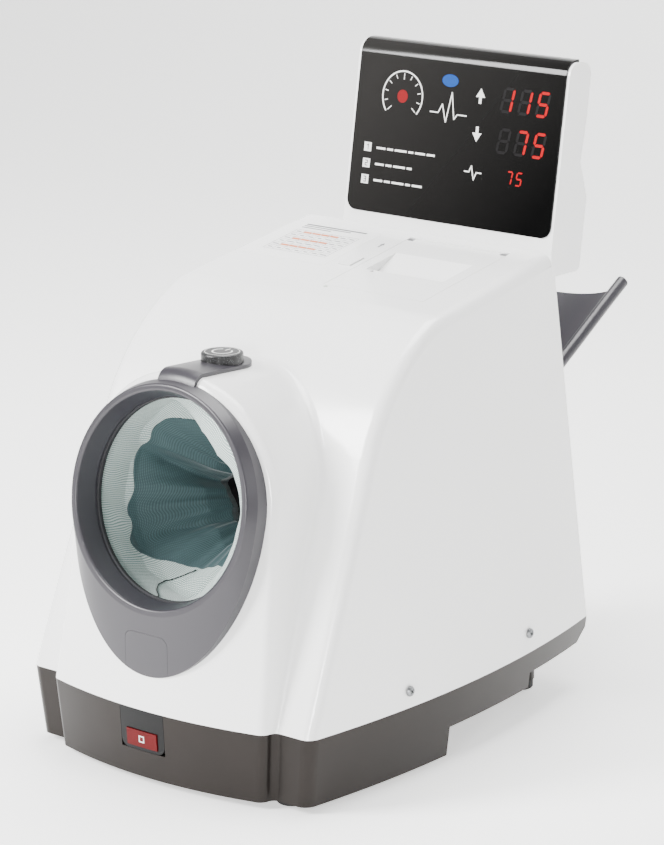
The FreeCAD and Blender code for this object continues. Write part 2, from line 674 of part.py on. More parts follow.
for y in (-110, -60):
    stand = fuse(f"cradle_{-y}", box(f"cradle_plate_{-y}", (-56, y - 2, 58), (56, y + 2, 150)),
                 box(f"cradle_foot_{-y}", (-56, y - 8, 58), (56, y + 8, 60)))
    cradles.append(cut(f"cradle_cut_{-y}", stand, drum_room))
node("cuff_cradles", group("cradle_pair", *cradles))

# Winding drive: geared motor on a bracket, pinion and the spool that draws the cuff tight.

def gear(name, teeth, module, width, origin, axis, toward, phase=0.0):
    """A spur gear; its first tooth points along 'toward', turned on by a part of the pitch."""
    count = int(mm(teeth))
    size = mm(module)
    pitch = count * size / 2
    root = pitch - 1.25 * size
    body = doc.addObject("PartDesign::Body", name)
    disc = body.newObject("PartDesign::AdditiveCylinder", name + "_disc")
    bind(disc, Radius=f"({teeth} / 2 - 1.25) * {module}", Height=width)
    body.Tip = disc
    half = math.pi * size / 4 - 0.12 * size
    slope = math.tan(math.radians(20))
    low, high = root - 0.3 * size, pitch + 0.95 * size
    low_half = half + slope * (pitch - root)
    high_half = half - slope * (high - pitch)
    tooth = body.newObject("PartDesign::Pad", name + "_tooth")
    profile = drawn(body, "XY", [(low, -low_half), (high, -high_half), (high, high_half),
                                 (low, low_half)])
    tooth.Profile = profile
    tooth.Length = width
    ring = body.newObject("PartDesign::PolarPattern", name + "_ring")
    ring.Originals = [tooth]
    ring.Axis = (profile, ["N_Axis"])
    ring.Angle = 360
    bind(ring, Occurrences=teeth)
    body.Tip = ring
    turn = Rotation(axis, 360 / count * phase).multiply(
        Rotation(toward, axis.cross(toward), axis, "ZXY"))
    return place(body, *origin, turn=turn)


toward_spool = Vector(mm("spool_x") - mm("motor_x"), 0, mm("spool_z") - mm("motor_z"))
toward_spool.normalize()


def on_motor(name, y, radius, length):
    """A round bar on the motor's axis."""
    return rod(name, ("motor_x", y, "motor_z"), radius, length, BACK)


def on_spool(name, y, radius, length):
    """A round bar on the spool's axis."""
    return rod(name, ("spool_x", y, "spool_z"), radius, length, BACK)


node("winding_motor", fuse("motor", on_motor("motor_can", -138, 16, 54),
                           on_motor("motor_shaft", -150, 2.5, 14),
                           on_motor("motor_cap", -84, 9, 3),
                           box("motor_foot", ("motor_x - 12", -130, 58),
                               ("motor_x + 12", -92, 64))))
pinion_blank = gear("pinion_blank", "pinion_teeth", "drive_module", 8,
                    ("motor_x", -150, "motor_z"), BACK, toward_spool)
node("motor_pinion", cut("pinion", pinion_blank, on_motor("pinion_bore", -151, 2.5, 20)))
spool_gear = gear("spool_gear", "spool_teeth", "drive_module", 7.6,
                  ("spool_x", -149.8, "spool_z"), BACK, toward_spool * -1, phase=0.5)
spool_whole = fuse("spool_whole", spool_gear, on_spool("spool_neck", -142.3, 6, 8),
                   on_spool("spool_flange_a", -136.5, 16, 2.5),
                   on_spool("spool_core", -134.5, 10, 70),
                   on_spool("spool_flange_b", -66, 16, 2.5))
node("winding_spool", cut("spool", spool_whole, on_spool("spool_bore", -160, 3.05, 110)))
bracket_plates = [box("bracket_front", (62, -141, 58), (116, -138.2, 118)),
                  box("bracket_rear", (88, -60, 58), (116, -57, 118)),
                  box("bracket_sole", (96, -141, 58), (104, -57, 60))]
bracket = cut("bracket", fuse("bracket_plates", *bracket_plates),
              on_spool("neck_hole", -145, 6.4, 10), on_motor("shaft_hole", -145, 4, 10),
              rod("screw_room", (95, -130, 57), 5, 5))
node("winding_bracket", fuse("bracket_with_axle", bracket, on_spool("spool_axle", -151, 3, 96)))

# ---------------------------------------------------------------------------------------------
# Chassis: a steel plate over the base that carries the drive, the air system and the boards.

chassis_holes = [rod(f"chassis_hole_{n}", (x, y, 50), 2.1, 12)
                 for n, (x, y) in enumerate(CHASSIS_SCREWS)]
node("chassis_plate", cut("chassis", box("chassis_sheet", (-104, -150, CHASSIS_Z),
                                         (104, 112, CHASSIS_Z + 2)), *chassis_holes))
node("chassis_screws", group("chassis_screw_set", *[
    turned(f"chassis_screw_{n}", [(0, -10), (1.9, -10), (1.9, 0), (4, 0), (4, 1.4), (3, 2.6),
                                  (0, 2.6)], (x, y, CHASSIS_Z + 2))
    for n, (x, y) in enumerate(CHASSIS_SCREWS)]))
node("power_supply", cut("supply", fuse("supply_case", box("supply_box", (-98, 12, 58),
                                                           (-38, 104, 88)),
                                        box("supply_flange", (-98, 4, 58), (-38, 12, 59.5))),
                         rod("supply_screw_room", (-95, 60, 50), 6, 20)))
board = box("board", (36, 14, 64), (98, 104, 65.6))
chips = [box("processor", (58, 50, 65.6), (78, 70, 67.6)),
         box("driver", (44, 80, 65.6), (54, 96, 68)),
         box("socket", (84, 76, 65.6), (94, 100, 72)),
         rod("reservoir", (50, 32, 65.6), 6, 14)]
pillars = [rod(f"pillar_{x}_{y}", (x, y, 58), 3, 6) for x in (40, 92) for y in (20, 98)]
node("main_board", fuse("board_built", board, *chips, *pillars))
node("air_pump", fuse("pump", rod("pump_can", (-78, -120, 80), 20, 44, BACK),
                      rod("pump_head", (-78, -76, 80), 17, 16, BACK),
                      box("pump_saddle", (-92, -114, 58), (-64, -82, 66)),
                      rod("pump_nipple", (-68, -72, 70), 2.4, 7.6, RIGHT)))
node("exhaust_valve", fuse("valve", box("valve_case", (-50, -100.5, 58), (-28, -68.6, 78)),
                           rod("valve_inlet", (-50, -72, 70), 2.4, 0.6, RIGHT * -1),
                           rod("valve_outlet", (-39, -85, 78), 2.4, 8)))
hose_up = tube("hose_up", (-39, -85, 78.3), 2.45, 4, 30.5)
hose_across = tube("hose_across", (-61.6, -72, 70), 2.45, 4, 11.2, RIGHT)
node("air_hoses", group("hose_pair", hose_up, hose_across))

# ---------------------------------------------------------------------------------------------
# Elbow rest: a long moulded trough that comes out through the rear cover and rises behind the
# machine, with rolled rims, and the plate in its floor that feels the elbow.

REST = [(-48, 107, 184, 74), (20, 117, 188, 73), (90, 150, 199, 72), (150, 187, 222, 71),
        (225, 240, 264, 70.5), (293, 287, 305, 70)]


def trough_form(wall, above):
    """The trough's outside, or the room inside it drawn a little past the rims."""
    sections = []
    for y, floor, rim, half in REST:
        reach, low = half + wall, floor - wall
        left, right = at(-reach, y, rim), at(reach, y, rim)
        major, minor = (reach, rim - low)
        if minor > major:
            oval = Part.Ellipse(at(0, y, low), at(reach, y, rim), at(0, y, rim))
            low_arc = Part.ArcOfEllipse(oval, -math.pi / 2, math.pi / 2).toShape()
        else:
            oval = Part.Ellipse(at(reach, y, rim), at(0, y, low), at(0, y, rim))
            low_arc = Part.ArcOfEllipse(oval, 0, math.pi).toShape()
            if low_arc.valueAt(low_arc.FirstParameter + 1.57).z > left.z:
                low_arc = Part.ArcOfEllipse(oval, math.pi, 2 * math.pi).toShape()
        high_left, high_right = left + Vector(0, 0, above), right + Vector(0, 0, above)
        edges = [low_arc]
        if above:
            edges += [Part.makeLine(left, high_left), Part.makeLine(right, high_right)]
        edges.append(Part.makeLine(high_left, high_right))
        sections.append(Part.Wire(Part.sortEdges(edges)[0]))
    return Part.makeLoft(sections, True, False)


def rim_path(side):
    line = Part.BSplineCurve()
    line.interpolate([at(side * (half + mm("rest_wall") / 2), y, rim)
                      for y, floor, rim, half in REST])
    return Part.Wire([line.toShape()])


def rolled_rim(side):
    path = rim_path(side)
    start = path.Edges[0].valueAt(path.Edges[0].FirstParameter)
    ring = Part.Wire([Part.Circle(start, BACK, mm("lip")).toShape()])
    return path.makePipeShell([ring], True, False)


rest_outer = shaped("rest_outer", trough_form(mm("rest_wall"), 0))
rest_inner = shaped("rest_inner", trough_form(0, 6))
rest_wall = cut("rest_wall_form", rest_outer, rest_inner)
rims = [shaped(f"rim_{n}", rolled_rim(side)) for n, side in enumerate((-1, 1))]
plate_way = box("plate_way", (-22, -38, 90), (22, -6, 130))
node("elbow_rest", cut("rest", fuse("rest_with_rims", rest_wall, *rims), plate_way))
plate_blank = common("plate_blank", rest_wall, box("plate_zone", (-21.6, -37.6, 90),
                                                   (21.6, -6.4, 130)))
plate_up = tilt(Placement(Vector(0, 0, 2.5), Rotation()), "plate_up", plate_blank)
node("elbow_plate", fuse("plate_with_stem", plate_up, rod("plate_stem", (0, -22, 101), 3.5, 8)))
node("elbow_switch", fuse("elbow_switch_post", box("switch_post", (-8, -30, 58), (8, -14, 90)),
                          box("switch_body", (-6, -28, 90), (6, -16, 96)),
                          rod("switch_nub", (0, -22, 96), 2, 2.6)))
node("elbow_bracket", cut("rest_bracket", box("rest_bracket_plate", (-30, 55, 58), (30, 62, 160)),
                          rest_outer))

ROOF = [(-38, 192), (20, 196), (70, 202), (112, 211)]


def roof_form(radius):
    sections = []
    for y, z in ROOF:
        left, right = at(-radius, y, z), at(radius, y, z)
        sections.append(Part.Wire([bent(left, at(0, y, z + radius), right),
                                   Part.makeLine(right, left)]))
    return Part.makeLoft(sections, True, False)


roof_inner = shaped("roof_inner", roof_form(72))
node("chamber_roof", cut("roof", shaped("roof_outer", roof_form(74.5)), roof_inner))

# ---------------------------------------------------------------------------------------------
# Start button on the nose, over a key switch hung from the shell.

node("start_button", turned("start_cap", [
    (0, 0), (17.6, 0), (17.6, 1.4), ("start_radius", 1.4),
    ("start_radius", "start_top_z - start_base_z - 1.5"),
    ("start_radius - 0.4", "start_top_z - start_base_z - 0.5"),
    ("start_radius - 1.5", "start_top_z - start_base_z"),
    (0, "start_top_z - start_base_z")], (0, "start_y", "start_base_z")))
start_posts = [rod(f"start_post_{n}", (x, "start_y", 288.2), 2.5, 15)
               for n, x in enumerate((-23, 23))]
start_hangers = cut("start_hangers", fuse("start_posts", *start_posts), shell_wall)
start_under = common("start_under", start_hangers, casing_inner)
node("start_switch", fuse("start_key", start_under,
                          box("start_board", (-27, -129, 288.2), (27, -120, 289.6)),
                          box("start_body", (-6, -128.5, 289.6), (6, -120.5, 292.2)),
                          rod("start_nub", (0, "start_y", 292.2), 2, 1.9)))

# ---------------------------------------------------------------------------------------------
# Printer: a bay under the top with the lid hinged on its rear ears, the paper roll, the platen
# roller carried by the lid, the head, and the feed motor with its gear.

def in_top(name, low, high):
    return block_in(TOP_PLACE, name, low, high)


def along_x(name, start, radius, length):
    return rod_in(TOP_PLACE, name, start, radius, length, RIGHT)


PIN_U, PIN_N = "lid_long", "-barrel"
tray_block = in_top("tray_block", ("lid_left - 4", -4, -51), ("lid_right + 4", 114.5, -3.2))
tray_room = in_top("tray_room", ("lid_left - 2", -2, -49), ("lid_right + 2", 112.5, 0))
ears = []
for side, start, end in (("left", "lid_left - 3", "lid_left + 5.6"),
                         ("right", "lid_right - 5.6", "lid_right + 3")):
    inner = ("lid_left + 0.4", end) if side == "left" else (start, "lid_right - 0.4")
    ears.append(in_top(f"ear_foot_{side}", (start, 105.4, -16), (end, 111, -3.6)))
    ears.append(in_top(f"ear_neck_{side}", (inner[0], 105.4, -3.6), (inner[1], 111, PIN_N)))
    ears.append(along_x(f"ear_{side}", (inner[0], PIN_U, PIN_N), "barrel",
                        f"({inner[1]}) - ({inner[0]})"))
feed_wall = in_top("feed_wall", (77.6, 16, -49.5), (78.6, 41, -22.5))
pin_bore = along_x("pin_bore", (-20, PIN_U, PIN_N), 1.25, 140)


def top_local(y, z):
    """The (u, n) in the top's frame of a point of the drawing."""
    point = TOP_PLACE.inverse().multVec(at(0, y, z))
    return point.y, point.z


platen_u, platen_n = top_local(mm("platen_y"), mm("platen_z"))
feed_u, feed_n = top_local(mm("feed_y"), mm("feed_z"))
roll_u, roll_n = top_local(mm("roll_y"), mm("roll_z"))
motor_way = along_x("motor_way", (70, feed_u, feed_n), 3, 12)
tray_built = fuse("tray_built", cut("tray_box", tray_block, tray_room), *ears, feed_wall)
node("printer_tray", cut("tray_bored", tray_built, pin_bore, motor_way))

lid_plate = in_top("lid_plate", ("lid_left", 0, "-lid_thick"), ("lid_right", 104.8, 0))
lid_web = in_top("lid_web", ("lid_left + 6.2", 104, "-lid_thick"),
                 ("lid_right - 6.2", PIN_U, 0))
lid_barrel = along_x("lid_barrel", ("lid_left + 6.2", PIN_U, PIN_N), "barrel",
                     "lid_right - lid_left - 12.4")
scoop = plate_in(TOP_PLACE, "scoop", [(41.6, -10.2), (39.4, 2), (80, 2), (78.2, 0), (46, -9.2)],
                 8.4, 75.6)
scoop_bowl = plate_in(TOP_PLACE, "scoop_bowl", [(36.6, -1.5), (37.8, -12.6), (47, -12.2),
                                                (82, -2)], 5.2, 82)
lugs = [plate_in(TOP_PLACE, f"lug_{n}",
                 [(platen_u - 5, platen_n - 5), (platen_u + 5, platen_n - 5),
                  (platen_u + 7, -2), (platen_u - 7, -2)], x, 2.4)
        for n, x in enumerate((11.6, 84.4))]
lug_bore = along_x("lug_bore", (5, platen_u, platen_n), 2.05, 90)
lid_built = fuse("lid_built", lid_plate, lid_web, lid_barrel, scoop_bowl, *lugs)
node("printer_lid", cut("lid_cut", lid_built, scoop, lug_bore, pin_bore))
node("lid_hinge_pin", along_x("hinge_pin", ("lid_left + 0.6", PIN_U, PIN_N), 1.2,
                              "lid_right - lid_left - 1.2"))

toward_feed = Vector(0, mm("feed_y") - mm("platen_y"), mm("feed_z") - mm("platen_z"))
toward_feed.normalize()
platen_gear = gear("platen_gear", "platen_teeth", "feed_module", 4, (79, "platen_y", "platen_z"),
                   RIGHT, toward_feed)
node("platen_roller", fuse("platen", platen_gear,
                           rod("platen_rubber", (15, "platen_y", "platen_z"), "platen_radius",
                               62, RIGHT),
                           rod("platen_shaft", (11, "platen_y", "platen_z"), 2, 76, RIGHT)))
feed_blank = gear("feed_blank", "feed_teeth", "feed_module", 3.8, (79.1, "feed_y", "feed_z"), RIGHT,
                  toward_feed * -1, phase=0.5)
node("feed_gear", cut("feed_bored", feed_blank,
                      rod("feed_bore", (70, "feed_y", "feed_z"), 1.55, 20, RIGHT)))
node("feed_motor", fuse("feed_drive", rod("feed_can", (50, "feed_y", "feed_z"), 10, 27.6, RIGHT),
                        rod("feed_boss", (77, "feed_y", "feed_z"), 2.9, 1.9, RIGHT),
                        rod("feed_shaft", (77, "feed_y", "feed_z"), 1.5, 7, RIGHT)))
head_block = box("head_block", (15, 5, 320.6), (77, 16.4, 324.8))
head_stand = common("head_stand", box("head_stem", (20, 7.6, 285), (44, 12, 321)), tray_room)
node("thermal_head", fuse("head", head_block, head_stand))
node("paper_roll", tube("roll", (18, "roll_y", "roll_z"), 6.5, "roll_radius", 57, RIGHT))

# Label film on the top, left of the printer; feed button, its switch and the status light.
panel_film = common("panel_film", casing_outer, in_top("film_zone", (-121, 34, -30),
                                                        (-30, 108, 5)))
node("label_panel", cut("panel", panel_film, film_under))
feed_key = fuse("feed_key", in_top("feed_cap", (-19.9, 40, -7), (-7.7, 57.4, 1.2)),
                in_top("feed_rim", (-21.3, 38.6, -6.6), (-6.3, 58.8, -5.2)))
node("feed_button", feed_key)
feed_posts = [rod_in(TOP_PLACE, f"feed_post_{n}", (-24, u, -16), 2, 13)
              for n, u in enumerate((38, 60))]
node("feed_switch", fuse("feed_switch_built", *feed_posts,
                         in_top("feed_board", (-27, 35, -17.4), (-9, 63, -16)),
                         in_top("feed_body", (-18.3, 44, -16), (-10.3, 53, -10)),
                         rod_in(TOP_PLACE, "feed_nub", (-14.1, 48.7, -10), 1.6, 1.8)))
node("status_light", rod_in(TOP_PLACE, "light_pipe", (2.6, -3.2, -3), 1.65, 3.3))

# ---------------------------------------------------------------------------------------------
# Display: a leaning housing on the rear edge of the top, its black window bent over the top, and
# the board with the red digits behind it.

def glass_outline(gap):
    """Side outline of the bent window, grown by a gap."""
    foot_z, foot_y, thick = mm("glass_z"), mm("glass_y") - 1, mm("glass_thick")
    top_z, back_y = mm("glass_top"), 152
    head_y = foot_y + (top_z - foot_z) * math.tan(math.radians(mm("display_lean")))
    return [(foot_y - gap, foot_z - gap), (head_y - gap, top_z + gap),
            (back_y + gap, top_z + gap), (back_y + gap, top_z - thick - gap),
            (head_y + 2.1 + gap, top_z - thick - gap), (foot_y + 2.6 + gap, foot_z - gap)]


def at_x(name, outline, left, width):
    """A side outline pushed out from a place along X."""
    return plate(name, "YZ", outline, width, (left, 0, 0))


housing_block = at_x("housing_block", [
    (115.4, 364.2), (138.0, 510), (166, 508), (160.2, 466), (152.5, 431), (161.5, 402),
    (153, 345), (117.7, 345)], "display_left", "display_right - display_left")
HOUSING_ROUNDS = [((138.0, 510), 11), ((166, 508), 11), ((160.2, 466), 8), ((152.5, 431), 9),
                  ((161.5, 402), 10), ((153, 345), 5)]
doc.recompute()


def corner_rounds(thing, corners):
    """The edges along X at the given corners, with their radii."""
    picked = []
    for n, edge in enumerate(thing.Shape.Edges, start=1):
        point = middle(edge)
        for (y, z), radius in corners:
            if (at(point.x, y, z) - point).Length < 0.5 and edge.BoundBox.XLength > 10:
                picked.append((n, radius, radius))
    return picked


housing_soft = doc.addObject("Part::Fillet", "housing_soft")
housing_soft.Base = housing_block
housing_soft.Edges = corner_rounds(housing_block, HOUSING_ROUNDS)
doc.recompute()


def bent_glass(name, gap):
    """The window, bent over the top and with its two lower corners rounded."""
    blank = at_x(name + "_blank", glass_outline(gap), f"glass_left - {gap}",
                 f"glass_right - glass_left + {2 * gap}")
    doc.recompute()
    soft = doc.addObject("Part::Fillet", name)
    soft.Base = blank
    outline = glass_outline(gap)
    bend_round = mm("glass_bend")
    bend = corner_rounds(blank, [(outline[1], bend_round + gap),
                                 (outline[4], bend_round - mm("glass_thick") - gap)])
    corners = [(n, mm("glass_corner"), mm("glass_corner"))
               for n, edge in enumerate(blank.Shape.Edges, start=1)
               if edge.Length < 4 and middle(edge).z < at(0, 0, 380).z]
    soft.Edges = bend + corners
    return soft


glass_seat = bent_glass("glass_seat", 0.2)
cavity = block_in(DISPLAY_PLACE, "cavity", (-72, 0.5, 8), (118, 19, 120))
display_bores = [rod_in(frame, f"display_bore_{n}", (0, -5, 0), 1.75, 17, BACK)
                 for n, frame in enumerate(DISPLAY_SCREWS)]
node("display_housing", cut("housing", housing_soft, glass_seat, cavity, casing_outer,
                            *display_bores))
node("display_glass", bent_glass("glass_window", 0))
led_sheet = block_in(DISPLAY_PLACE, "led_sheet", (-68, 10, 12), (116, 11.6, 118))
led_posts = [rod_in(DISPLAY_PLACE, f"led_post_{x}_{v}", (x, 11.6, v), 3, 7.4, BACK)
             for x in (-62, 110) for v in (18, 112)]
node("led_board", fuse("led_board_built", led_sheet, *led_posts))
digits = [block_in(DISPLAY_PLACE, f"digit_{row}_{n}", (63 + 17 * n + 0.2, 3, low),
                   (80 + 17 * n - 0.2, 10, low + 26))
          for row, low in enumerate((89.3, 57.4)) for n in range(3)]
node("led_digits_large", group("digit_set", *digits))
small_digits = [block_in(DISPLAY_PLACE, f"small_digit_{n}", (66.2 + 9.5 * n, 3, 35.5),
                         (75.4 + 9.5 * n, 10, 49.5)) for n in range(3)]
node("led_digits_small", group("small_digit_set", *small_digits))

# ---------------------------------------------------------------------------------------------
# Sockets, rocker switch and loudspeaker in the rear cover; the screws.

inlet_body = fuse("inlet_body", block_in(INLET, "inlet_case", (-23.7, -28, -13.7),
                                         (23.7, 1, 13.7)),
                  block_in(INLET, "inlet_flange", (-26.5, 0.3, -16.5), (26.5, 2.3, 16.5)))
inlet_room = block_in(INLET, "inlet_room", (-20, -18, -10.5), (20, 5, 10.5))
inlet_pins = [block_in(INLET, f"inlet_pin_{x}", (x - 1, -18.5, z - 2), (x + 1, -4, z + 2))
              for x, z in ((-7, -2), (0, 3), (7, -2))]
node("mains_inlet", fuse("inlet", cut("inlet_shell", inlet_body, inlet_room), *inlet_pins))
rocker_body = fuse("rocker_body", block_in(ROCKER, "rocker_case", (-9.7, -20, -13.7),
                                           (9.7, 1, 13.7)),
                   block_in(ROCKER, "rocker_flange", (-11.5, 0.3, -15.5), (11.5, 1.8, 15.5)))
rocker_room = block_in(ROCKER, "rocker_room", (-7.5, -12, -11.5), (7.5, 5, 11.5))
node("rocker_frame", fuse("rocker_shell", cut("rocker_cut", rocker_body, rocker_room),
                          rod_in(ROCKER, "rocker_axle", (-8, -4, 0), 1.2, 16, RIGHT)))
rocker_plate = plate_in(ROCKER, "rocker_plate", [(-6, -3), (-2, -10.2), (1.4, -10.2), (2.2, 0),
                                                 (3.2, 9.6), (-2, 10), (-6, 3)], -7.3, 14.6)
node("power_rocker", cut("rocker", rocker_plate,
                         rod_in(ROCKER, "rocker_bore", (-9, -4, 0), 1.25, 18, RIGHT)))
port_body = fuse("port_body", block_in(PORT, "port_case", (-14.8, -12, -4.8), (14.8, 0.8, 4.8)),
                 block_in(PORT, "port_rim", (-17, 0.3, -6.5), (17, 1.3, 6.5)))
node("data_port", fuse("port", cut("port_cut", port_body,
                                   block_in(PORT, "port_room", (-12, -9, -3.4), (12, 4, 3.4))),
                       block_in(PORT, "port_tongue", (-10, -9.5, -1), (10, -1, 1))))
node("speaker", fuse("speaker_built", rod_in(GRILLE, "speaker_rim", (0, -6, 0), 19, 2.6, BACK),
                     rod_in(GRILLE, "speaker_basket", (0, -14, 0), 14, 8.4, BACK),
                     rod_in(GRILLE, "speaker_magnet", (0, -22, 0), 10, 8.4, BACK)))

SCREW = [(0, -9), (1.7, -9), (1.7, 0), (3.5, 0), (3.5, 1.2), (2.6, 2.2), (0, 2.2)]


def screws(name, outline, frames):
    """Like screws, each with its head's seat on a frame and its shank along that frame's -Y."""
    origin = (0, "centre_y", "-lift")
    made = [tilt(frame, f"{name}_at_{n}", turned(f"{name}_{n}", outline, origin, BACK))
            for n, frame in enumerate(frames)]
    return group(name, *made)


def shifted(frame, y, turn=0):
    """A frame moved out along its own Y, and turned about its Z."""
    return frame.multiply(Placement(Vector(0, y, 0), Rotation(Vector(0, 0, 1), turn)))


node("rear_screws", screws("rear_screw", SCREW, [shifted(f, 0.1) for f in REAR_SCREWS]))
node("display_screws", screws("display_screw", SCREW,
                              [shifted(f, -3.2, 180) for f in DISPLAY_SCREWS]))
side_frames = []
for y, z in SIDE_SCREWS:
    for side in (-1, 1):
        seat = at(side * (skin_x(y, z) + 0.6), y, z)
        side_frames.append(Placement(seat, Rotation(BACK, RIGHT * side)))
BIG_SCREW = [(0, -12), (1.9, -12), (1.9, 0), (4, 0), (4, 1.2), (3, 2.4), (0, 2.4)]
node("side_screws", screws("side_screw", BIG_SCREW, side_frames))

# ---------------------------------------------------------------------------------------------
# Every object has to be sound before anything is written.

doc.recompute()
failed = [thing.Name for thing in doc.Objects
          if "Invalid" in thing.State or "Error" in thing.State]
failed += [thing.Label for thing in NODES
           if thing.Shape.isNull() or not thing.Shape.isValid() or not thing.Shape.Solids]
if failed:
    raise RuntimeError(f"failed objects: {failed}")

os.makedirs("parts", exist_ok=True)
for thing in NODES:
    thing.Shape.exportStep(f"parts/{thing.Label}.step")
print(len(NODES), "nodes written")
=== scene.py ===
import math
import random

import bmesh
import bpy
import numpy as np
from mathutils import Matrix, Vector
from mathutils.bvhtree import BVHTree


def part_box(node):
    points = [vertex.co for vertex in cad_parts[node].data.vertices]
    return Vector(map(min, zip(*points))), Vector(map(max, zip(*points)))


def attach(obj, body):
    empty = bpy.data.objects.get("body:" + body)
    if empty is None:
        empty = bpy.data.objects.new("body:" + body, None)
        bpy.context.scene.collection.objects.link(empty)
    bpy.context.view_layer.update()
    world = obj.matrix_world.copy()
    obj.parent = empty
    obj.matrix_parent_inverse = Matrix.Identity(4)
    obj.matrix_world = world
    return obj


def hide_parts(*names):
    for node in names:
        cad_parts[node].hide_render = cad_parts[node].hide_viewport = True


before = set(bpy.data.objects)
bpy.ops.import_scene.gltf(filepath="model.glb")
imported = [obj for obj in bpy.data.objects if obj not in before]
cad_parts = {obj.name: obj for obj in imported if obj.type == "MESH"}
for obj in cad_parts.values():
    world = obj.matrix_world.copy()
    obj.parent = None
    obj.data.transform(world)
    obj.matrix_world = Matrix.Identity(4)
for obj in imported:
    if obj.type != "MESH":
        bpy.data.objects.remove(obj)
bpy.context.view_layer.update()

MM = 0.001

# ---------------------------------------------------------------------------------------------
# Base tray: a deep tray of moulded ABS, sprayed a warm metallic grey. It carries everything
# else, and the white cover stands on its rim.


def linear(code):
    """A colour written as sRGB hex, as the linear colour that a socket takes."""
    parts = [int(code[n:n + 2], 16) / 255 for n in (1, 3, 5)]
    return tuple(p / 12.92 if p <= 0.04045 else ((p + 0.055) / 1.055) ** 2.4 for p in parts) + (1,)


def add(tree, kind, inputs=None, **settings):
    """Adds a node, with its settings, and with its inputs set to values or linked to sockets."""
    made = tree.nodes.new(kind)
    for name, value in settings.items():
        setattr(made, name, value)
    for name, value in (inputs or {}).items():
        if isinstance(value, bpy.types.NodeSocket):
            tree.links.new(value, made.inputs[name])
        else:
            made.inputs[name].default_value = value
    return made


def start_finish(name, **shader_values):
    """A new material: its tree, its shader and its place coordinates in metres."""
    made = bpy.data.materials.new(name)
    made.use_nodes = True
    tree = made.node_tree
    tree.nodes.clear()
    shader = add(tree, "ShaderNodeBsdfPrincipled", shader_values)
    add(tree, "ShaderNodeOutputMaterial", {"Surface": shader.outputs[0]})
    place = add(tree, "ShaderNodeTexCoord").outputs["Object"]
    return made, tree, shader, place


def blend_colours(tree, factor, low, high):
    """A colour between two, chosen by a factor. Each is a hex code or a socket."""
    mix = add(tree, "ShaderNodeMix", {"Factor": factor}, data_type="RGBA")
    for socket, colour in ((mix.inputs[6], low), (mix.inputs[7], high)):
        fixed = isinstance(colour, str)
        socket.default_value = linear(colour) if fixed else (0, 0, 0, 1)
        if not fixed:
            tree.links.new(colour, socket)
    return mix.outputs[2]


def moulded(name, low, high, rough, grain_mm, depth_mm, patch_mm=70, **shader_values):
    """Moulded plastic: two near colours in slow patches, a fine skin grain and uneven gloss."""
    made, tree, shader, place = start_finish(name, **shader_values)
    patch = add(tree, "ShaderNodeTexNoise", {"Vector": place, "Scale": 1 / (patch_mm * MM),
                                             "Detail": 3.0}).outputs["Fac"]
    tree.links.new(blend_colours(tree, patch, low, high), shader.inputs["Base Color"])
    grain = add(tree, "ShaderNodeTexNoise", {"Vector": place, "Scale": 1 / (grain_mm * MM),
                                             "Detail": 2.0}).outputs["Fac"]
    gloss = add(tree, "ShaderNodeMapRange", {"Value": grain, "To Min": rough * 0.88,
                                             "To Max": rough * 1.12}).outputs[0]
    tree.links.new(gloss, shader.inputs["Roughness"])
    bump = add(tree, "ShaderNodeBump", {"Height": grain, "Strength": 0.6,
                                        "Distance": depth_mm * MM})
    tree.links.new(bump.outputs[0], shader.inputs["Normal"])
    return made


def dress(finish, *nodes):
    """Gives CAD nodes their finish."""
    for name in nodes:
        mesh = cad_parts[name].data
        mesh.materials.clear()
        mesh.materials.append(finish)


# Sprayed metallic ABS: flake under a satin lacquer, so it darkens quickly as it turns away.
metallic_grey = moulded("abs_sprayed_warm_grey", "#221F1D", "#2B2725", 0.3, 0.5, 0.01,
                        **{"Metallic": 0.5, "Specular IOR Level": 0.2})
dress(metallic_grey, "base_tray")

# ---------------------------------------------------------------------------------------------
# Feet: four turned pads of black moulded rubber, glued into seats under the base.

foot_rubber = moulded("rubber_moulded_black", "#151515", "#1D1C1B", 0.72, 0.4, 0.03, 12)
dress(foot_rubber, "rubber_feet")

# ---------------------------------------------------------------------------------------------
# Emergency stop: a glossy black surround let into the base, and a red push button in it with a
# plain stop sign printed in white.

black_gloss = moulded("abs_moulded_black_gloss", "#020203", "#050506", 0.3, 0.9, 0.003,
                      **{"Specular IOR Level": 0.2})
button_red = moulded("abs_moulded_red", "#480103", "#560205", 0.45, 0.5, 0.008, 10,
                     **{"Specular IOR Level": 0.15})
switch_black = moulded("nylon_moulded_black", "#131315", "#1D1D20", 0.55, 0.4, 0.012, 15)
dress(black_gloss, "emergency_surround")
dress(button_red, "emergency_button")
dress(switch_black, "emergency_switch")


# How bright ink is where its film is thinnest.
THIN_INK = 0.86


def ink(name, code, rough=0.5, glow=0.0):
    """Screen-printed ink: one flat colour, slightly uneven in thickness."""
    made, tree, shader, place = start_finish(name, Roughness=rough,
                                             **{"Specular IOR Level": 0.12})
    film = add(tree, "ShaderNodeTexNoise", {"Vector": place, "Scale": 1 / (1.5 * MM),
                                            "Detail": 1.0}).outputs["Fac"]
    channels = [int(code[n:n + 2], 16) for n in (1, 3, 5)]
    worn = "#%02X%02X%02X" % tuple(int(c * THIN_INK) for c in channels)
    tree.links.new(blend_colours(tree, film, worn, code), shader.inputs["Base Color"])
    if glow:
        shader.inputs["Emission Color"].default_value = linear(code)
        shader.inputs["Emission Strength"].default_value = glow
    return made


def finished_piece(name, mesh, finish, body, smooth=True):
    """Makes an object of a finished mesh, riding on a body."""
    piece = bpy.data.objects.new(name, mesh)
    bpy.context.scene.collection.objects.link(piece)
    if finish:
        mesh.materials.append(finish)
    if smooth:
        mesh.shade_smooth()
    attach(piece, body)
    return piece


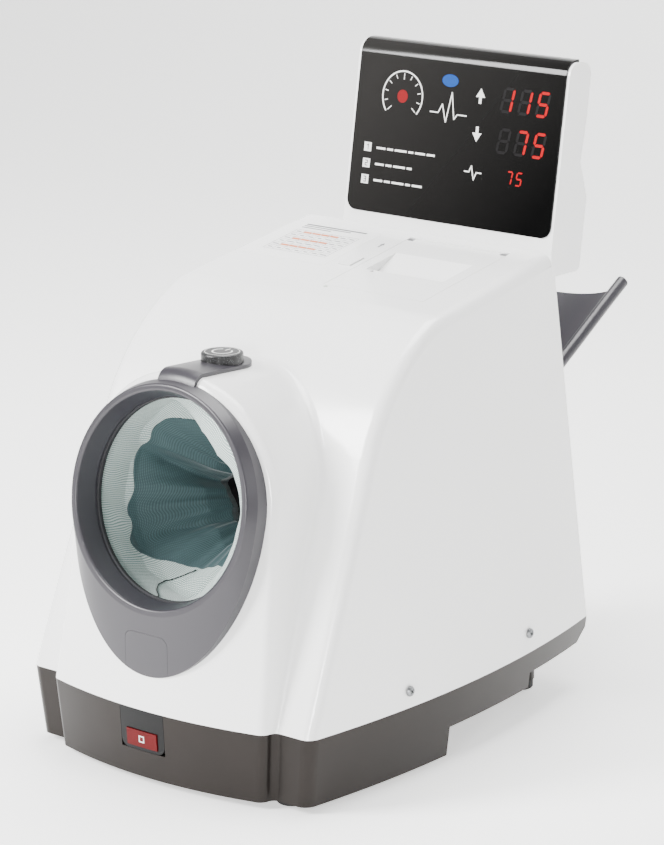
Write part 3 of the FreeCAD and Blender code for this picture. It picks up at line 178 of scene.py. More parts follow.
def surface_of(*nodes):
    """The surface of some CAD nodes, for finding the points that prints lie on."""
    points, faces = [], []
    for name in nodes:
        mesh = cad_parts[name].data
        first = len(points)
        points += [v.co.copy() for v in mesh.vertices]
        faces += [[first + n for n in face.vertices] for face in mesh.polygons]
    return BVHTree.FromPolygons(points, faces)


INK_THICK = 0.06 * MM
# How far the flat sheet that a print starts from stands off the piece.
STAND_OFF = 0.02


def printed(name, shapes, sheet, toward, target, finish, body, step_mm=3.0):
    """Ink laid on a surface. Shapes are convex outlines in mm on a flat sheet that stands off
    the surface; each is cut into small cells, which are dropped onto the surface. What misses
    the surface is left out."""
    mesh = bpy.data.meshes.new(name)
    work = bmesh.new()
    for outline in shapes:
        corners = [work.verts.new((x, y, 0)) for x, y in outline]
        work.faces.new(corners)
    xs = [v.co.x for v in work.verts]
    ys = [v.co.y for v in work.verts]
    for axis, (low, high) in enumerate(((min(xs), max(xs)), (min(ys), max(ys)))):
        normal = Vector((1, 0, 0)) if axis == 0 else Vector((0, 1, 0))
        for n in range(1, int((high - low) / step_mm) + 1):
            whole = work.verts[:] + work.edges[:] + work.faces[:]
            bmesh.ops.bisect_plane(work, geom=whole, plane_co=normal * (low + n * step_mm),
                                   plane_no=normal)
    down = (sheet.to_3x3() @ Vector(toward)).normalized()
    lost = []
    for vert in work.verts:
        start = sheet @ (vert.co * MM)
        hit, normal, _, _ = target.ray_cast(start, down)
        if hit is None:
            lost.append(vert)
        else:
            vert.co = hit - down * INK_THICK
    bmesh.ops.delete(work, geom=lost, context="VERTS")
    work.normal_update()
    for face in work.faces:
        if face.normal.dot(down) > 0:
            face.normal_flip()
    work.to_mesh(mesh)
    work.free()
    finished_piece(name, mesh, finish, body, smooth=False)


def bar(x, y, long, wide, turn=0.0):
    """A straight stroke centred on a point."""
    c, s = math.cos(turn), math.sin(turn)
    half = [(-long / 2, -wide / 2), (long / 2, -wide / 2), (long / 2, wide / 2),
            (-long / 2, wide / 2)]
    return [(x + a * c - b * s, y + a * s + b * c) for a, b in half]


def stroke(x0, y0, x1, y1, wide):
    """A straight stroke from point to point."""
    long = math.hypot(x1 - x0, y1 - y0)
    return bar((x0 + x1) / 2, (y0 + y1) / 2, long + wide * 0.6, wide,
               math.atan2(y1 - y0, x1 - x0))


def ring_band(x, y, radius, wide, start=0.0, end=360.0, cells=32):
    """A ring, or part of one, as a row of small cells."""
    made = []
    for n in range(cells):
        a, b = (math.radians(start + (end - start) * k / cells) for k in (n, n + 1))
        low, high = radius - wide / 2, radius + wide / 2
        made.append([(x + low * math.cos(a), y + low * math.sin(a)),
                     (x + high * math.cos(a), y + high * math.sin(a)),
                     (x + high * math.cos(b), y + high * math.sin(b)),
                     (x + low * math.cos(b), y + low * math.sin(b))])
    return made


def disc(x, y, radius, squash=1.0, sides=28):
    """A filled circle, or an oval that is lower than it is wide."""
    return [(x + radius * math.cos(2 * math.pi * n / sides),
             y + radius * squash * math.sin(2 * math.pi * n / sides)) for n in range(sides)]


white_ink = ink("ink_screen_print_white", "#E9E9E6")
stop_low, stop_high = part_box("emergency_button")
stop_middle = (stop_low + stop_high) / 2
front_sheet = (Matrix.Translation((stop_middle.x, stop_low.y - STAND_OFF, stop_middle.z))
               @ Matrix.Rotation(math.radians(90), 4, "X"))
stop_sign = [bar(0, 2.2, 5.4, 0.9), bar(0, -2.2, 5.4, 0.9), bar(-2.2, 0, 0.9, 3.5),
             bar(2.2, 0, 0.9, 3.5)]
printed("stop_sign_print", stop_sign, front_sheet, (0, 0, -1), surface_of("emergency_button"),
        white_ink, "stop_key")

# ---------------------------------------------------------------------------------------------
# Chassis and what stands on it: a plated steel sheet with the winding drive, the pump and valve,
# the power supply and the main board.

plated_steel = moulded("steel_sheet_zinc_plated", "#A9ABAC", "#BFC1C2", 0.34, 1.2, 0.004, 8,
                       Metallic=1.0)
brass = moulded("brass_hobbed", "#B08D4C", "#C6A562", 0.32, 0.3, 0.006, 5, Metallic=1.0)
brushed_aluminium = moulded("aluminium_brushed", "#9C9FA2", "#B4B7BA", 0.38, 0.4, 0.008, 30,
                            Metallic=1.0)
nylon_cream = moulded("nylon_moulded_cream", "#D6D2C4", "#E2DFD3", 0.5, 0.5, 0.01, 20)
hose_black = moulded("rubber_hose_black", "#1A1A1B", "#262627", 0.6, 0.5, 0.01, 8)
dress(plated_steel, "chassis_plate", "winding_bracket", "elbow_bracket", "winding_motor",
      "feed_motor", "lid_hinge_pin")
dress(brass, "motor_pinion")
dress(brushed_aluminium, "power_supply", "thermal_head")
dress(nylon_cream, "winding_spool", "exhaust_valve", "feed_gear")
dress(switch_black, "air_pump", "elbow_switch", "speaker", "cuff_cradles")
dress(hose_black, "air_hoses", "cuff_bladder", "platen_roller")


def circuit_board(name):
    """Glass-epoxy board: green solder mask over copper runs that show as paler straight lines."""
    made, tree, shader, place = start_finish(name, Roughness=0.35, **{"Coat Weight": 0.4})
    runs = add(tree, "ShaderNodeTexBrick", {"Vector": place, "Scale": 1 / (9 * MM),
                                            "Mortar Size": 0.035, "Brick Width": 0.7,
                                            "Row Height": 0.22})
    runs.inputs["Color1"].default_value = linear("#0E4A26")
    runs.inputs["Color2"].default_value = linear("#115430")
    runs.inputs["Mortar"].default_value = linear("#2F7A48")
    tree.links.new(runs.outputs["Color"], shader.inputs["Base Color"])
    bump = add(tree, "ShaderNodeBump", {"Height": runs.outputs["Fac"], "Strength": 0.4,
                                        "Distance": 0.03 * MM})
    tree.links.new(bump.outputs[0], shader.inputs["Normal"])
    return made


board_green = circuit_board("glass_epoxy_board_green")
dress(board_green, "main_board", "start_switch", "feed_switch", "led_board")

# ---------------------------------------------------------------------------------------------
# Arm tunnel: a moulded drum that leans back, lined with a pale open-weave cloth. The teal cuff
# is sewn in behind the mouth and falls together in loose folds towards its throat.

drum_grey = moulded("abs_moulded_mid_grey", "#6A6A6C", "#747476", 0.5, 0.6, 0.012)
dress(drum_grey, "cuff_drum", "chamber_roof", "printer_tray")

LEAN = math.radians(9.9)
# The middle of the ring's crest, from which depths are measured.
CREST = Vector((0, -0.23932, 0.2192))
TUNNEL = Matrix.Translation(CREST) @ Matrix.Rotation(math.pi / 2 - LEAN, 4, "X")


def in_tunnel(radius, angle, depth):
    """A point at a radius, an angle and a depth behind the ring's crest, all in mm."""
    return TUNNEL @ Vector((radius * math.cos(angle) * MM, radius * math.sin(angle) * MM,
                            -depth * MM))


def cloth_sheet(name, across, along, point, thick_mm, finish):
    """A closed tube of cloth from a rule for its points, with a UV map in metres of cloth."""
    mesh = bpy.data.meshes.new(name)
    work = bmesh.new()
    uv = work.loops.layers.uv.new("cloth")
    grid = [[work.verts.new(point(i / across, j / along)) for i in range(across)]
            for j in range(along + 1)]
    lengths = [0.0]
    for j in range(along):
        lengths.append(lengths[-1] + (grid[j + 1][0].co - grid[j][0].co).length)
    girth = sum((grid[0][i].co - grid[0][i - 1].co).length for i in range(across))
    for j in range(along):
        for i in range(across):
            face = work.faces.new((grid[j][i], grid[j][(i + 1) % across],
                                   grid[j + 1][(i + 1) % across], grid[j + 1][i]))
            for loop, (a, b) in zip(face.loops, ((i, j), (i + 1, j), (i + 1, j + 1), (i, j + 1))):
                loop[uv].uv = (girth * a / across, lengths[b])
    bmesh.ops.recalc_face_normals(work, faces=work.faces)
    inside = TUNNEL.to_3x3() @ Vector((0, 0, -0.05))
    inward = sum(1 for f in work.faces
                 if f.normal.dot(f.calc_center_median() - CREST - inside) < 0)
    if inward < len(work.faces) / 2:
        bmesh.ops.reverse_faces(work, faces=work.faces)
    work.to_mesh(mesh)
    work.free()
    piece = finished_piece(name, mesh, finish, "machine")
    wall = piece.modifiers.new("thickness", "SOLIDIFY")
    wall.thickness = thick_mm * MM
    wall.offset = -1
    return piece


# The wave texture's period at scale 1.
WAVE_PERIOD = 0.314


def woven(name, warp, weft, shade, thread_mm, rough, fringe=0.0):
    """Woven cloth, from its UV map: two sets of threads that cross, and a fine sheen.
    The threads are drawn coarser than the real 0.3 mm ones so that they show."""
    made, tree, shader, place = start_finish(name, Roughness=rough, **{"Sheen Weight": 0.35,
                                                                     "Sheen Roughness": 0.4})
    cloth = add(tree, "ShaderNodeUVMap", uv_map="cloth").outputs[0]
    drift = add(tree, "ShaderNodeTexNoise", {"Vector": place, "Scale": 1 / (34 * MM),
                                             "Detail": 1.0}).outputs["Color"]
    moved = add(tree, "ShaderNodeVectorMath", {0: drift, "Scale": fringe * MM},
                operation="SCALE").outputs[0]
    where = add(tree, "ShaderNodeVectorMath", {0: cloth, 1: moved}, operation="ADD").outputs[0]
    threads = []
    for direction in ("X", "Y"):
        threads.append(add(tree, "ShaderNodeTexWave", {
            "Vector": where, "Scale": WAVE_PERIOD / (thread_mm * MM), "Distortion": 0.0},
            wave_type="BANDS", bands_direction=direction).outputs["Fac"])
    weave = add(tree, "ShaderNodeMath", {0: threads[0], 1: threads[1]},
                operation="MULTIPLY").outputs[0]
    patch = add(tree, "ShaderNodeTexNoise", {"Vector": place, "Scale": 1 / (22 * MM),
                                             "Detail": 3.0}).outputs["Fac"]
    colour = blend_colours(tree, patch, warp, weft)
    colour = blend_colours(tree, weave, shade, colour)
    tree.links.new(colour, shader.inputs["Base Color"])
    bump = add(tree, "ShaderNodeBump", {"Height": weave, "Strength": 0.5,
                                        "Distance": 0.15 * MM})
    tree.links.new(bump.outputs[0], shader.inputs["Normal"])
    return made


mint_cloth = woven("polyester_net_mint_white", "#FFFFFF", "#F2F8F5", "#6E8680", 1.7, 0.75,
                   fringe=14.0)
teal_cloth = woven("nylon_woven_teal", "#3A5557", "#4C6867", "#24393D", 1.1, 0.7)

LINING_FRONT = 22.9
LINING_RADIUS = 78.5
# The cuff's profile: how far its cloth stands from the axis at each depth, and how deep the
# folds are there.
SLEEVE = [(52, 78.4, 0.2), (60, 75.0, 2.0), (78, 60.0, 6.5), (100, 41.0, 8.5), (118, 32.0, 6.0),
          (132, 38.0, 5.0), (141, 62.0, 2.0), (145, 81.0, 0.3)]
FOLDS_START, FOLDS_END = SLEEVE[0][0], SLEEVE[-1][0]
FOLD_SCALE = 0.8
# How far the top of the cuff hangs down, and how far apart its two cloths lie.
SAG, CLOTH_GAP = 5.0, 0.9
# Behind this depth the cloth may reach out to this radius, where it meets the drum.
DRUM_START, DRUM_RADIUS = 125, 82
# The depth over which the billows grow, and how far the lining runs on under the teal cloth.
BILLOW_RUN, LINING_OVERLAP = 10, 7
# Where the teal starts: the angle and the depth.
FRONT_WAVES = [(0, 92), (45, 96), (80, 98), (100, 96), (112, 84), (122, 70), (132, 61), (146, 58),
               (156, 63), (164, 55), (176, 57), (188, 59), (196, 51), (206, 57), (216, 45),
               (222, 53), (232, 63), (250, 78), (267, 83), (320, 90)]
# Where the slack lining billows into the mouth: the angle and how far.
BILLOWS = [(0, 25), (30, 28), (55, 33), (80, 26), (104, 5), (112, 0), (272, 0), (290, 8),
           (310, 17), (330, 22), (350, 25)]
# Each crease: its angle at the front, how it swirls on the way back, its width and its depth.
CREASES = [(157, 26, 10, 2.4), (206, 30, 9, 0.9), (252, 5, 12, 1.2), (310, 12, 12, 1.4),
           (20, 9, 12, 1.4), (72, -10, 10, 1.0), (118, 22, 7, 0.35)]
random.seed(11)
FOLDS = [(count, random.uniform(0, 6.28), random.uniform(-1.5, 1.5), weight)
         for count, weight in ((7, 0.25), (13, 0.14), (23, 0.05))]


def read_off(table, value, column=1):
    """Reads a table at a value, in a straight line between its rows."""
    rows = sorted(table)
    return float(np.interp(value, [row[0] for row in rows], [row[column] for row in rows]))


def front_edge(angle):
    """The depth at which the teal cloth starts."""
    degrees = math.degrees(angle) % 360
    around = FRONT_WAVES + [(360, FRONT_WAVES[0][1])]
    return sum(read_off(around, (degrees + step) % 360) for step in (-4, -2, 0, 2, 4)) / 5


def fold_height(angle, along):
    """How far the cloth stands in from its mean line: full between creases, sharp in them."""
    degrees = math.degrees(angle)
    total = 0.7
    for centre, swirl, wide, deep in CREASES:
        off = (degrees - centre - swirl * along + 180) % 360 - 180
        total -= deep * math.exp(-abs(off / wide) ** 1.3)
    for count, phase, swirl, weight in FOLDS:
        wave = math.sin(count * angle + phase + swirl * along * 2.2)
        total += weight * (1 - 1.6 * abs(wave))
    return total


def cloth_radius(angle, depth, outside):
    """How far the cuff's cloth stands from the axis: on the bladder at the left of the mouth,
    billowing in at the right, and then gathered towards the throat."""
    share = min(1.0, max(0.0, (depth - LINING_FRONT) / BILLOW_RUN))
    degrees = math.degrees(angle) % 360
    billow = (read_off(BILLOWS + [(360, BILLOWS[0][1])], degrees)
              * share * share * (3 - 2 * share))
    slack = 0.35 * math.sin(9 * angle + depth / 17) + 0.25 * math.sin(17 * angle - depth / 11)
    mouth = LINING_RADIUS + slack - billow
    if depth > DRUM_START:
        mouth = DRUM_RADIUS
    along = (depth - FOLDS_START) / (FOLDS_END - FOLDS_START)
    sag = SAG * math.sin(math.pi * min(1.0, max(0.0, along)))
    folds = read_off(SLEEVE, depth, 2) * fold_height(angle, along) * FOLD_SCALE
    gathered = read_off(SLEEVE, depth) - sag * max(0.0, math.sin(angle)) - folds
    if outside:
        return min(mouth, gathered + CLOTH_GAP)
    return min(mouth - CLOTH_GAP, gathered)


def lining_point(turn, along):
    """A point of the lining: it runs from the hem to a little behind the teal cloth's edge."""
    angle = turn * 2 * math.pi
    depth = LINING_FRONT + (front_edge(angle) + LINING_OVERLAP - LINING_FRONT) * along
    return in_tunnel(cloth_radius(angle, depth, True), angle, depth)


def sleeve_point(turn, along):
    """A point of the teal cuff: it runs from its wavy edge to the drum's far end."""
    angle = turn * 2 * math.pi
    depth = front_edge(angle) + (FOLDS_END - front_edge(angle)) * along
    return in_tunnel(cloth_radius(angle, depth, False), angle, depth)


lining = cloth_sheet("cuff_lining_cloth", 360, 60, lining_point, 0.6, mint_cloth)
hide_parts("cuff_lining")
sleeve = cloth_sheet("cuff_sleeve_cloth", 360, 90, sleeve_point, 0.8, teal_cloth)
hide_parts("cuff_sleeve")

# The hem is a bound edge, closed with a row of long stitches in yellow and black thread.
hem_binding = moulded("polyester_tape_black", "#1C1C1E", "#26262A", 0.8, 0.5, 0.05, 6)
dress(hem_binding, "cuff_hem")


def stitch_row(name, count, radius_mm, depth_mm, thread_mm, long_mm, finish, offset):
    """Stitches set out around a circle by a node tree."""
    tree = bpy.data.node_groups.new(name, "GeometryNodeTree")
    face = tree.interface
    face.new_socket("Geometry", in_out="OUTPUT", socket_type="NodeSocketGeometry")
    sockets = {}
    for label, kind, value in (("Count", "NodeSocketInt", count),
                               ("Radius", "NodeSocketFloat", radius_mm * MM),
                               ("Thread", "NodeSocketFloat", thread_mm * MM),
                               ("Length", "NodeSocketFloat", long_mm * MM),
                               ("Turn", "NodeSocketFloat", offset)):
        made = face.new_socket(label, in_out="INPUT", socket_type=kind)
        sockets[label] = (made.identifier, value)
    given = add(tree, "NodeGroupInput").outputs
    circle = add(tree, "GeometryNodeCurvePrimitiveCircle",
                 {"Resolution": given["Count"], "Radius": given["Radius"]}, mode="RADIUS")
    points = add(tree, "GeometryNodeCurveToPoints", {"Curve": circle.outputs[0],
                                                     "Count": given["Count"]}, mode="COUNT")
    bead = add(tree, "GeometryNodeMeshCylinder", {"Vertices": 8, "Radius": given["Thread"],
                                                  "Depth": given["Length"]})
    placed = add(tree, "GeometryNodeInstanceOnPoints", {"Points": points.outputs["Points"],
                                                        "Instance": bead.outputs["Mesh"],
                                                        "Rotation": points.outputs["Rotation"]})
    turned = add(tree, "GeometryNodeTransform", {"Geometry": placed.outputs[0]})
    spin = add(tree, "ShaderNodeCombineXYZ", {"Z": given["Turn"]})
    tree.links.new(spin.outputs[0], turned.inputs["Rotation"])
    real = add(tree, "GeometryNodeRealizeInstances", {"Geometry": turned.outputs[0]})
    coloured = add(tree, "GeometryNodeSetMaterial", {"Geometry": real.outputs[0],
                                                     "Material": finish})
    add(tree, "NodeGroupOutput", {"Geometry": coloured.outputs[0]})
    mesh = made_by_nodes(name, tree, sockets)
    mesh.transform(TUNNEL @ Matrix.Translation((0, 0, -depth_mm * MM)))
    finished_piece(name, mesh, None, "machine")


def made_by_nodes(name, tree, sockets, source=None):
    """Runs a node tree on an empty or given mesh and keeps the result as a plain mesh."""
    base = bpy.data.objects.new(name + "_base", source or bpy.data.meshes.new(name + "_base"))
    bpy.context.scene.collection.objects.link(base)
    modifier = base.modifiers.new(name, "NODES")
    modifier.node_group = tree
    for identifier, value in sockets.values():
        modifier[identifier] = value
    graph = bpy.context.evaluated_depsgraph_get()
    mesh = bpy.data.meshes.new_from_object(base.evaluated_get(graph), depsgraph=graph)
    base.modifiers.remove(modifier)
    bpy.data.objects.remove(base)
    mesh.name = name
    return mesh


def thread_along(name, points, radius_mm, finish, body):
    """A thread laid through some points."""
    line = bpy.data.curves.new(name, "CURVE")
    line.dimensions = "3D"
    line.bevel_depth = radius_mm * MM
    line.bevel_resolution = 2
    line.use_fill_caps = True
    path = line.splines.new("POLY")
    path.points.add(len(points) - 1)
    for spot, place in zip(path.points, points):
        spot.co = (*place, 1)
    holder = bpy.data.objects.new(name, line)
    bpy.context.scene.collection.objects.link(holder)
    graph = bpy.context.evaluated_depsgraph_get()
    mesh = bpy.data.meshes.new_from_object(holder.evaluated_get(graph), depsgraph=graph)
    bpy.data.objects.remove(holder)
    finished_piece(name, mesh, finish, body)


# A black seam closes the lining along its floor; it turns towards the hem at the front. Each row
# is a depth and the seam's angle there.
SEAM = [(23.6, 262), (30, 259.5), (38, 252), (47, 247), (57, 245), (76, 252)]
SEAM_LONG = 54
SEAM_SUNK = 0.45
seam_path = []
for n in range(SEAM_LONG):
    depth = SEAM[0][0] + n
    angle = math.radians(read_off(SEAM, depth))
    seam_path.append(in_tunnel(cloth_radius(angle, depth, True) - SEAM_SUNK, angle, depth))
yellow_thread = moulded("polyester_thread_yellow", "#B9A23A", "#C9B24A", 0.7, 0.3, 0.03, 4)
black_thread = moulded("polyester_thread_black", "#141414", "#1E1E1E", 0.7, 0.3, 0.03, 4)
STITCHES, HEM_RADIUS, HEM_DEPTH = 84, 76.1, 20.2
thread_along("lining_seam", seam_path, 0.4, black_thread, "machine")
stitch_row("hem_stitches_yellow", STITCHES, HEM_RADIUS, HEM_DEPTH, 0.3, 3.0, yellow_thread, 0.0)
stitch_row("hem_stitches_black", STITCHES, HEM_RADIUS, HEM_DEPTH, 0.3, 1.8, black_thread,
           math.pi / STITCHES)

# ---------------------------------------------------------------------------------------------
# White cover: glossy injection-moulded ABS, with a separate rear cover of white ABS that has a
# fine texture.

white_abs = moulded("abs_moulded_white_gloss", "#F0F0EF", "#F5F5F4", 0.2, 1.6, 0.003, 120,
                    **{"Coat Weight": 0.3, "Coat Roughness": 0.08})
white_satin = moulded("abs_moulded_white_texture", "#E9E9E8", "#EFEFEE", 0.42, 0.7, 0.02, 120)
dress(white_abs, "upper_shell", "printer_lid", "display_housing")
dress(white_satin, "rear_cover")

# ---------------------------------------------------------------------------------------------
# Cuff ring, service cap and elbow rest: moulded ABS in a cool satin grey.

ring_grey = moulded("abs_moulded_cool_grey", "#2D2B30", "#343237", 0.34, 0.8, 0.006, 90)
dress(ring_grey, "cuff_ring", "service_cap", "elbow_rest", "elbow_plate")

# ---------------------------------------------------------------------------------------------
# Start button: a black moulded cap with a fine speckle, and a power sign printed on top.


def speckled(name):
    """Black plastic with pale specks moulded in, about 0.5 mm across."""
    made, tree, shader, place = start_finish(name, Roughness=0.42)
    cells = add(tree, "ShaderNodeTexVoronoi", {"Vector": place, "Scale": 1 / (1.1 * MM)})
    speck = add(tree, "ShaderNodeMapRange", {"Value": cells.outputs["Distance"],
                                             "From Min": 0.16, "From Max": 0.24}).outputs[0]
    tree.links.new(blend_colours(tree, speck, "#6F7072", "#131314"), shader.inputs["Base Color"])
    bump = add(tree, "ShaderNodeBump", {"Height": speck, "Strength": 0.3,
                                        "Distance": 0.05 * MM})
    tree.links.new(bump.outputs[0], shader.inputs["Normal"])
    return made


start_black = speckled("abs_speckled_black")
dress(start_black, "start_button")
start_low, start_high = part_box("start_button")
start_middle = (start_low + start_high) / 2
button_sheet = Matrix.Translation((start_middle.x, start_middle.y,
                                   start_high.z + STAND_OFF))
power_sign = ring_band(0, 0, 7.4, 1.3, 125, 415, 30) + [bar(0, 6.4, 1.3, 6.4)]
power_sign += ring_band(0, 0, 13.2, 0.5, cells=48)
printed("start_sign_print", power_sign, button_sheet, (0, 0, -1), surface_of("start_button"),
        white_ink, "start_key")

# ---------------------------------------------------------------------------------------------
# Printer and top panel: paper roll, feed button, status light, and the results chart printed on
# a film that is stuck to the top.

paper = moulded("paper_thermal_white", "#F1F0EA", "#F7F6F1", 0.62, 0.5, 0.01, 6)
dress(paper, "paper_roll")
key_grey = moulded("abs_moulded_pale_key", "#E6E6E5", "#EDEDEC", 0.36, 0.6, 0.008, 12)
dress(key_grey, "feed_button")
light_clear = moulded("acrylic_frosted_light", "#B7C0B5", "#C4CDC2", 0.25, 0.5, 0.004, 3)
dress(light_clear, "status_light")
film = moulded("polyester_film_satin", "#EFEFEE", "#F3F3F2", 0.3, 1.1, 0.003, 60)
dress(film, "label_panel")

SLOPE = math.radians(10)
TOP = Matrix.Translation((0, -0.04312, 0.3496)) @ Matrix.Rotation(SLOPE, 4, "X")
top_sheet = TOP @ Matrix.Translation((0, 0, 0.03))
grey_ink = ink("ink_screen_print_grey", "#77777A")
orange_ink = ink("ink_screen_print_orange", "#E0855A")
CHART_LEFT, CHART_RIGHT, CHART_LOW, CHART_HIGH = -104.0, -40.0, 48.0, 92.0
chart_rows, chart_columns = 6, 7
chart_marks, orange_marks = [], []
for row in range(chart_rows + 1):
    y = CHART_LOW + (CHART_HIGH - CHART_LOW) * row / chart_rows
    chart_marks.append(bar((CHART_LEFT + CHART_RIGHT) / 2, y, CHART_RIGHT - CHART_LEFT, 0.35))
for column in range(chart_columns + 1):
    x = CHART_LEFT + (CHART_RIGHT - CHART_LEFT) * column / chart_columns
    chart_marks.append(bar(x, (CHART_LOW + CHART_HIGH) / 2, 0.35, CHART_HIGH - CHART_LOW))
random.seed(4)
for row in range(chart_rows):
    for column in range(chart_columns):
        x = CHART_LEFT + (CHART_RIGHT - CHART_LEFT) * (column + 0.5) / chart_columns
        y = CHART_LOW + (CHART_HIGH - CHART_LOW) * (row + 0.5) / chart_rows
        long = random.uniform(3.5, 6.5)
        if 1 <= column <= 4 and row % 2 == 1:
            orange_marks.append(bar(x, y, 8.2, 3.2))
        else:
            chart_marks.append(bar(x, y, long, 1.3))
for line, long in enumerate((62, 48, 30)):
    chart_marks.append(bar(CHART_LEFT + long / 2, 104.5 - 3.4 * line, long, 1.5 if line else 2.2))
film_surface = surface_of("label_panel")
printed("chart_print_grey", chart_marks, top_sheet, (0, 0, -1), film_surface, grey_ink, "machine",
        6.0)
printed("chart_print_orange", orange_marks, top_sheet, (0, 0, -1), film_surface, orange_ink,
        "machine", 6.0)
feed_arrow = [[(-15.9, 88), (-11.7, 88), (-13.8, 92)], bar(-13.8, 85.5, 1.6, 5)]
printed("feed_sign_print", feed_arrow, top_sheet, (0, 0, -1), surface_of("upper_shell"),
        grey_ink, "machine")
printed("lid_mark_print", [[(14.2, 36.6), (18.4, 36.6), (16.3, 39.2)]], top_sheet, (0, 0, -1),
        surface_of("printer_lid"), grey_ink, "lid")

# ---------------------------------------------------------------------------------------------
# Display: a black acrylic window bent over the top of its housing. The lit red digits and the
# plain signs are laid on its front, and stand for light from the modules behind it.


def smoked_acrylic(name):
    """Gloss black acrylic: almost a mirror at a glance, with a faint haze of wiping marks, and a
    painted reflection: its black is painted lighter towards the upper left."""
    made, tree, shader, place = start_finish(name, **{"Specular IOR Level": 0.25})
    haze = add(tree, "ShaderNodeTexNoise", {"Vector": place, "Scale": 1 / (45 * MM),
                                            "Detail": 5.0, "Roughness": 0.65}).outputs["Fac"]
    # Painted reflection: the black is painted lighter along this direction, towards the upper
    # left.
    film = add(tree, "ShaderNodeVectorMath", {0: place, 1: (-4.5, 0, 3.5)},
               operation="DOT_PRODUCT")
    painted_reflection = add(tree, "ShaderNodeMapRange", {"Value": film.outputs["Value"], "From Min": 0.9,
                                            "From Max": 2.0}).outputs[0]
    tree.links.new(blend_colours(tree, painted_reflection, "#020202", "#232221"), shader.inputs["Base Color"])
    gloss = add(tree, "ShaderNodeMapRange", {"Value": haze, "To Min": 0.06,
                                             "To Max": 0.15}).outputs[0]
    tree.links.new(gloss, shader.inputs["Roughness"])
    return made


dress(smoked_acrylic("acrylic_smoked_black"), "display_glass")
dress(black_gloss, "led_digits_large", "led_digits_small")

TILT = math.radians(8.8)
DISPLAY = Matrix.Translation((0, 0.07868, 0.3818)) @ Matrix.Rotation(-TILT, 4, "X")
window_sheet = (DISPLAY @ Matrix.Translation((0, -STAND_OFF, 0))
                @ Matrix.Rotation(math.radians(90), 4, "X"))
window_surface = surface_of("display_glass")
SLANT = math.tan(math.radians(9))


def segments(x, v, wide, high, thick, lit):
    """The bars of one seven-segment digit, centred at (x, v); lit names them by letter."""
    half = high / 2
    gap = thick * 0.12
    flat, tall = wide - thick, half - thick / 2
    places = {"a": (0, half - thick / 2, flat, 0), "d": (0, -half + thick / 2, flat, 0),
              "g": (0, 0, flat, 0),
              "f": (-flat / 2, half / 2 - thick / 4, tall, 1),
              "b": (flat / 2, half / 2 - thick / 4, tall, 1),
              "e": (-flat / 2, -half / 2 + thick / 4, tall, 1),
              "c": (flat / 2, -half / 2 + thick / 4, tall, 1)}
    made = []
    for letter in lit:
        cx, cy, long, upright = places[letter]
        reach, fat = long / 2 - gap, thick / 2
        outline = [(-reach, 0), (-reach + fat, -fat), (reach - fat, -fat), (reach, 0),
                   (reach - fat, fat), (-reach + fat, fat)]
        if upright:
            outline = [(-b, a) for a, b in outline]
        made.append([(x + cx + a + (cy + b) * SLANT, v + cy + b) for a, b in outline])
    return made


# Digits no higher than this show no unlit bars.
SMALL_DIGIT = 15
DIGIT = {"1": "bc", "5": "afgcd", "7": "abc"}
lit_bars, dark_bars = [], []
for text, first_x, middle_v, wide, high, thick, pitch in (
        ("115", 71.5, 102.3, 11.2, 20.3, 2.3, 17), (" 75", 71.5, 70.4, 11.2, 20.3, 2.3, 17),
        (" 75", 70.8, 42.5, 6.2, 11.2, 1.3, 9.5)):
    for n, letter in enumerate(text):
        on = DIGIT.get(letter, "")
        here = (first_x + pitch * n, middle_v, wide, high, thick)
        lit_bars += segments(*here, on)
        if high > SMALL_DIGIT:
            dark_bars += segments(*here, [s for s in "abcdefg" if s not in on])
lit_red = ink("led_light_red", "#9C0008", 0.7, glow=0.5)
unlit = ink("led_bar_unlit", "#0D0B0C", 0.3)
printed("lit_digits", lit_bars, window_sheet, (0, 0, -1), window_surface, lit_red, "machine",
        8.0)
printed("unlit_digits", dark_bars, window_sheet, (0, 0, -1), window_surface, unlit, "machine",
        8.0)

# Plain signs: arrows for the two pressures, a beat for the pulse, a round gauge and step bars.
signs = []
for v, up in ((104, 1), (72, -1)):
    signs.append([(40.5, v - 2 * up), (49.5, v - 2 * up), (45, v + 5 * up)][::up])
    signs.append(bar(45, v - 4.5 * up, 2.6, 5))
beat = [(36.5, 43), (41, 43), (43, 48), (46, 37), (48.2, 43), (53, 43)]
signs += [stroke(*a, *b, 1.0) for a, b in zip(beat, beat[1:])]
GAUGE_X, GAUGE_V, GAUGE_R = -32.0, 95.0, 20.0
GAUGE_START, GAUGE_STEP, GAUGE_MARKS = -40, 26, 11
gauge_end = GAUGE_START + GAUGE_STEP * (GAUGE_MARKS - 1)
signs += ring_band(GAUGE_X, GAUGE_V, GAUGE_R, 1.2, GAUGE_START, gauge_end, 40)
for n in range(GAUGE_MARKS):
    angle = math.radians(GAUGE_START + GAUGE_STEP * n)
    inner, outer = (15.2, 18.0) if n % 5 else (13.5, 18.0)
    signs.append(stroke(GAUGE_X + inner * math.cos(angle), GAUGE_V + inner * math.sin(angle),
                        GAUGE_X + outer * math.cos(angle), GAUGE_V + outer * math.sin(angle), 0.7))
wave = [(-3, 86), (5, 86), (8.5, 93), (13, 79), (17, 103), (21, 82), (24, 86), (33, 86)]
signs += [stroke(*a, *b, 1.0) for a, b in zip(wave, wave[1:])]
STEP_X, STEP_ROWS, WORDS_X, WORD_GAP = -62, (51.5, 38.5, 25.5), -53.0, 1.8
for long, v in zip((62, 40, 54), STEP_ROWS):
    signs.append(bar(STEP_X, v, 7.2, 7.2))
    run = WORDS_X
    for word in (9, 6, 12, 5, 10, 8, 11, 7):
        if run + word > WORDS_X + long:
            break
        signs.append(bar(run + word / 2, v, word, 1.7))
        run += word + WORD_GAP
printed("window_signs", signs, window_sheet, (0, 0, -1), window_surface, white_ink, "machine",
        8.0)
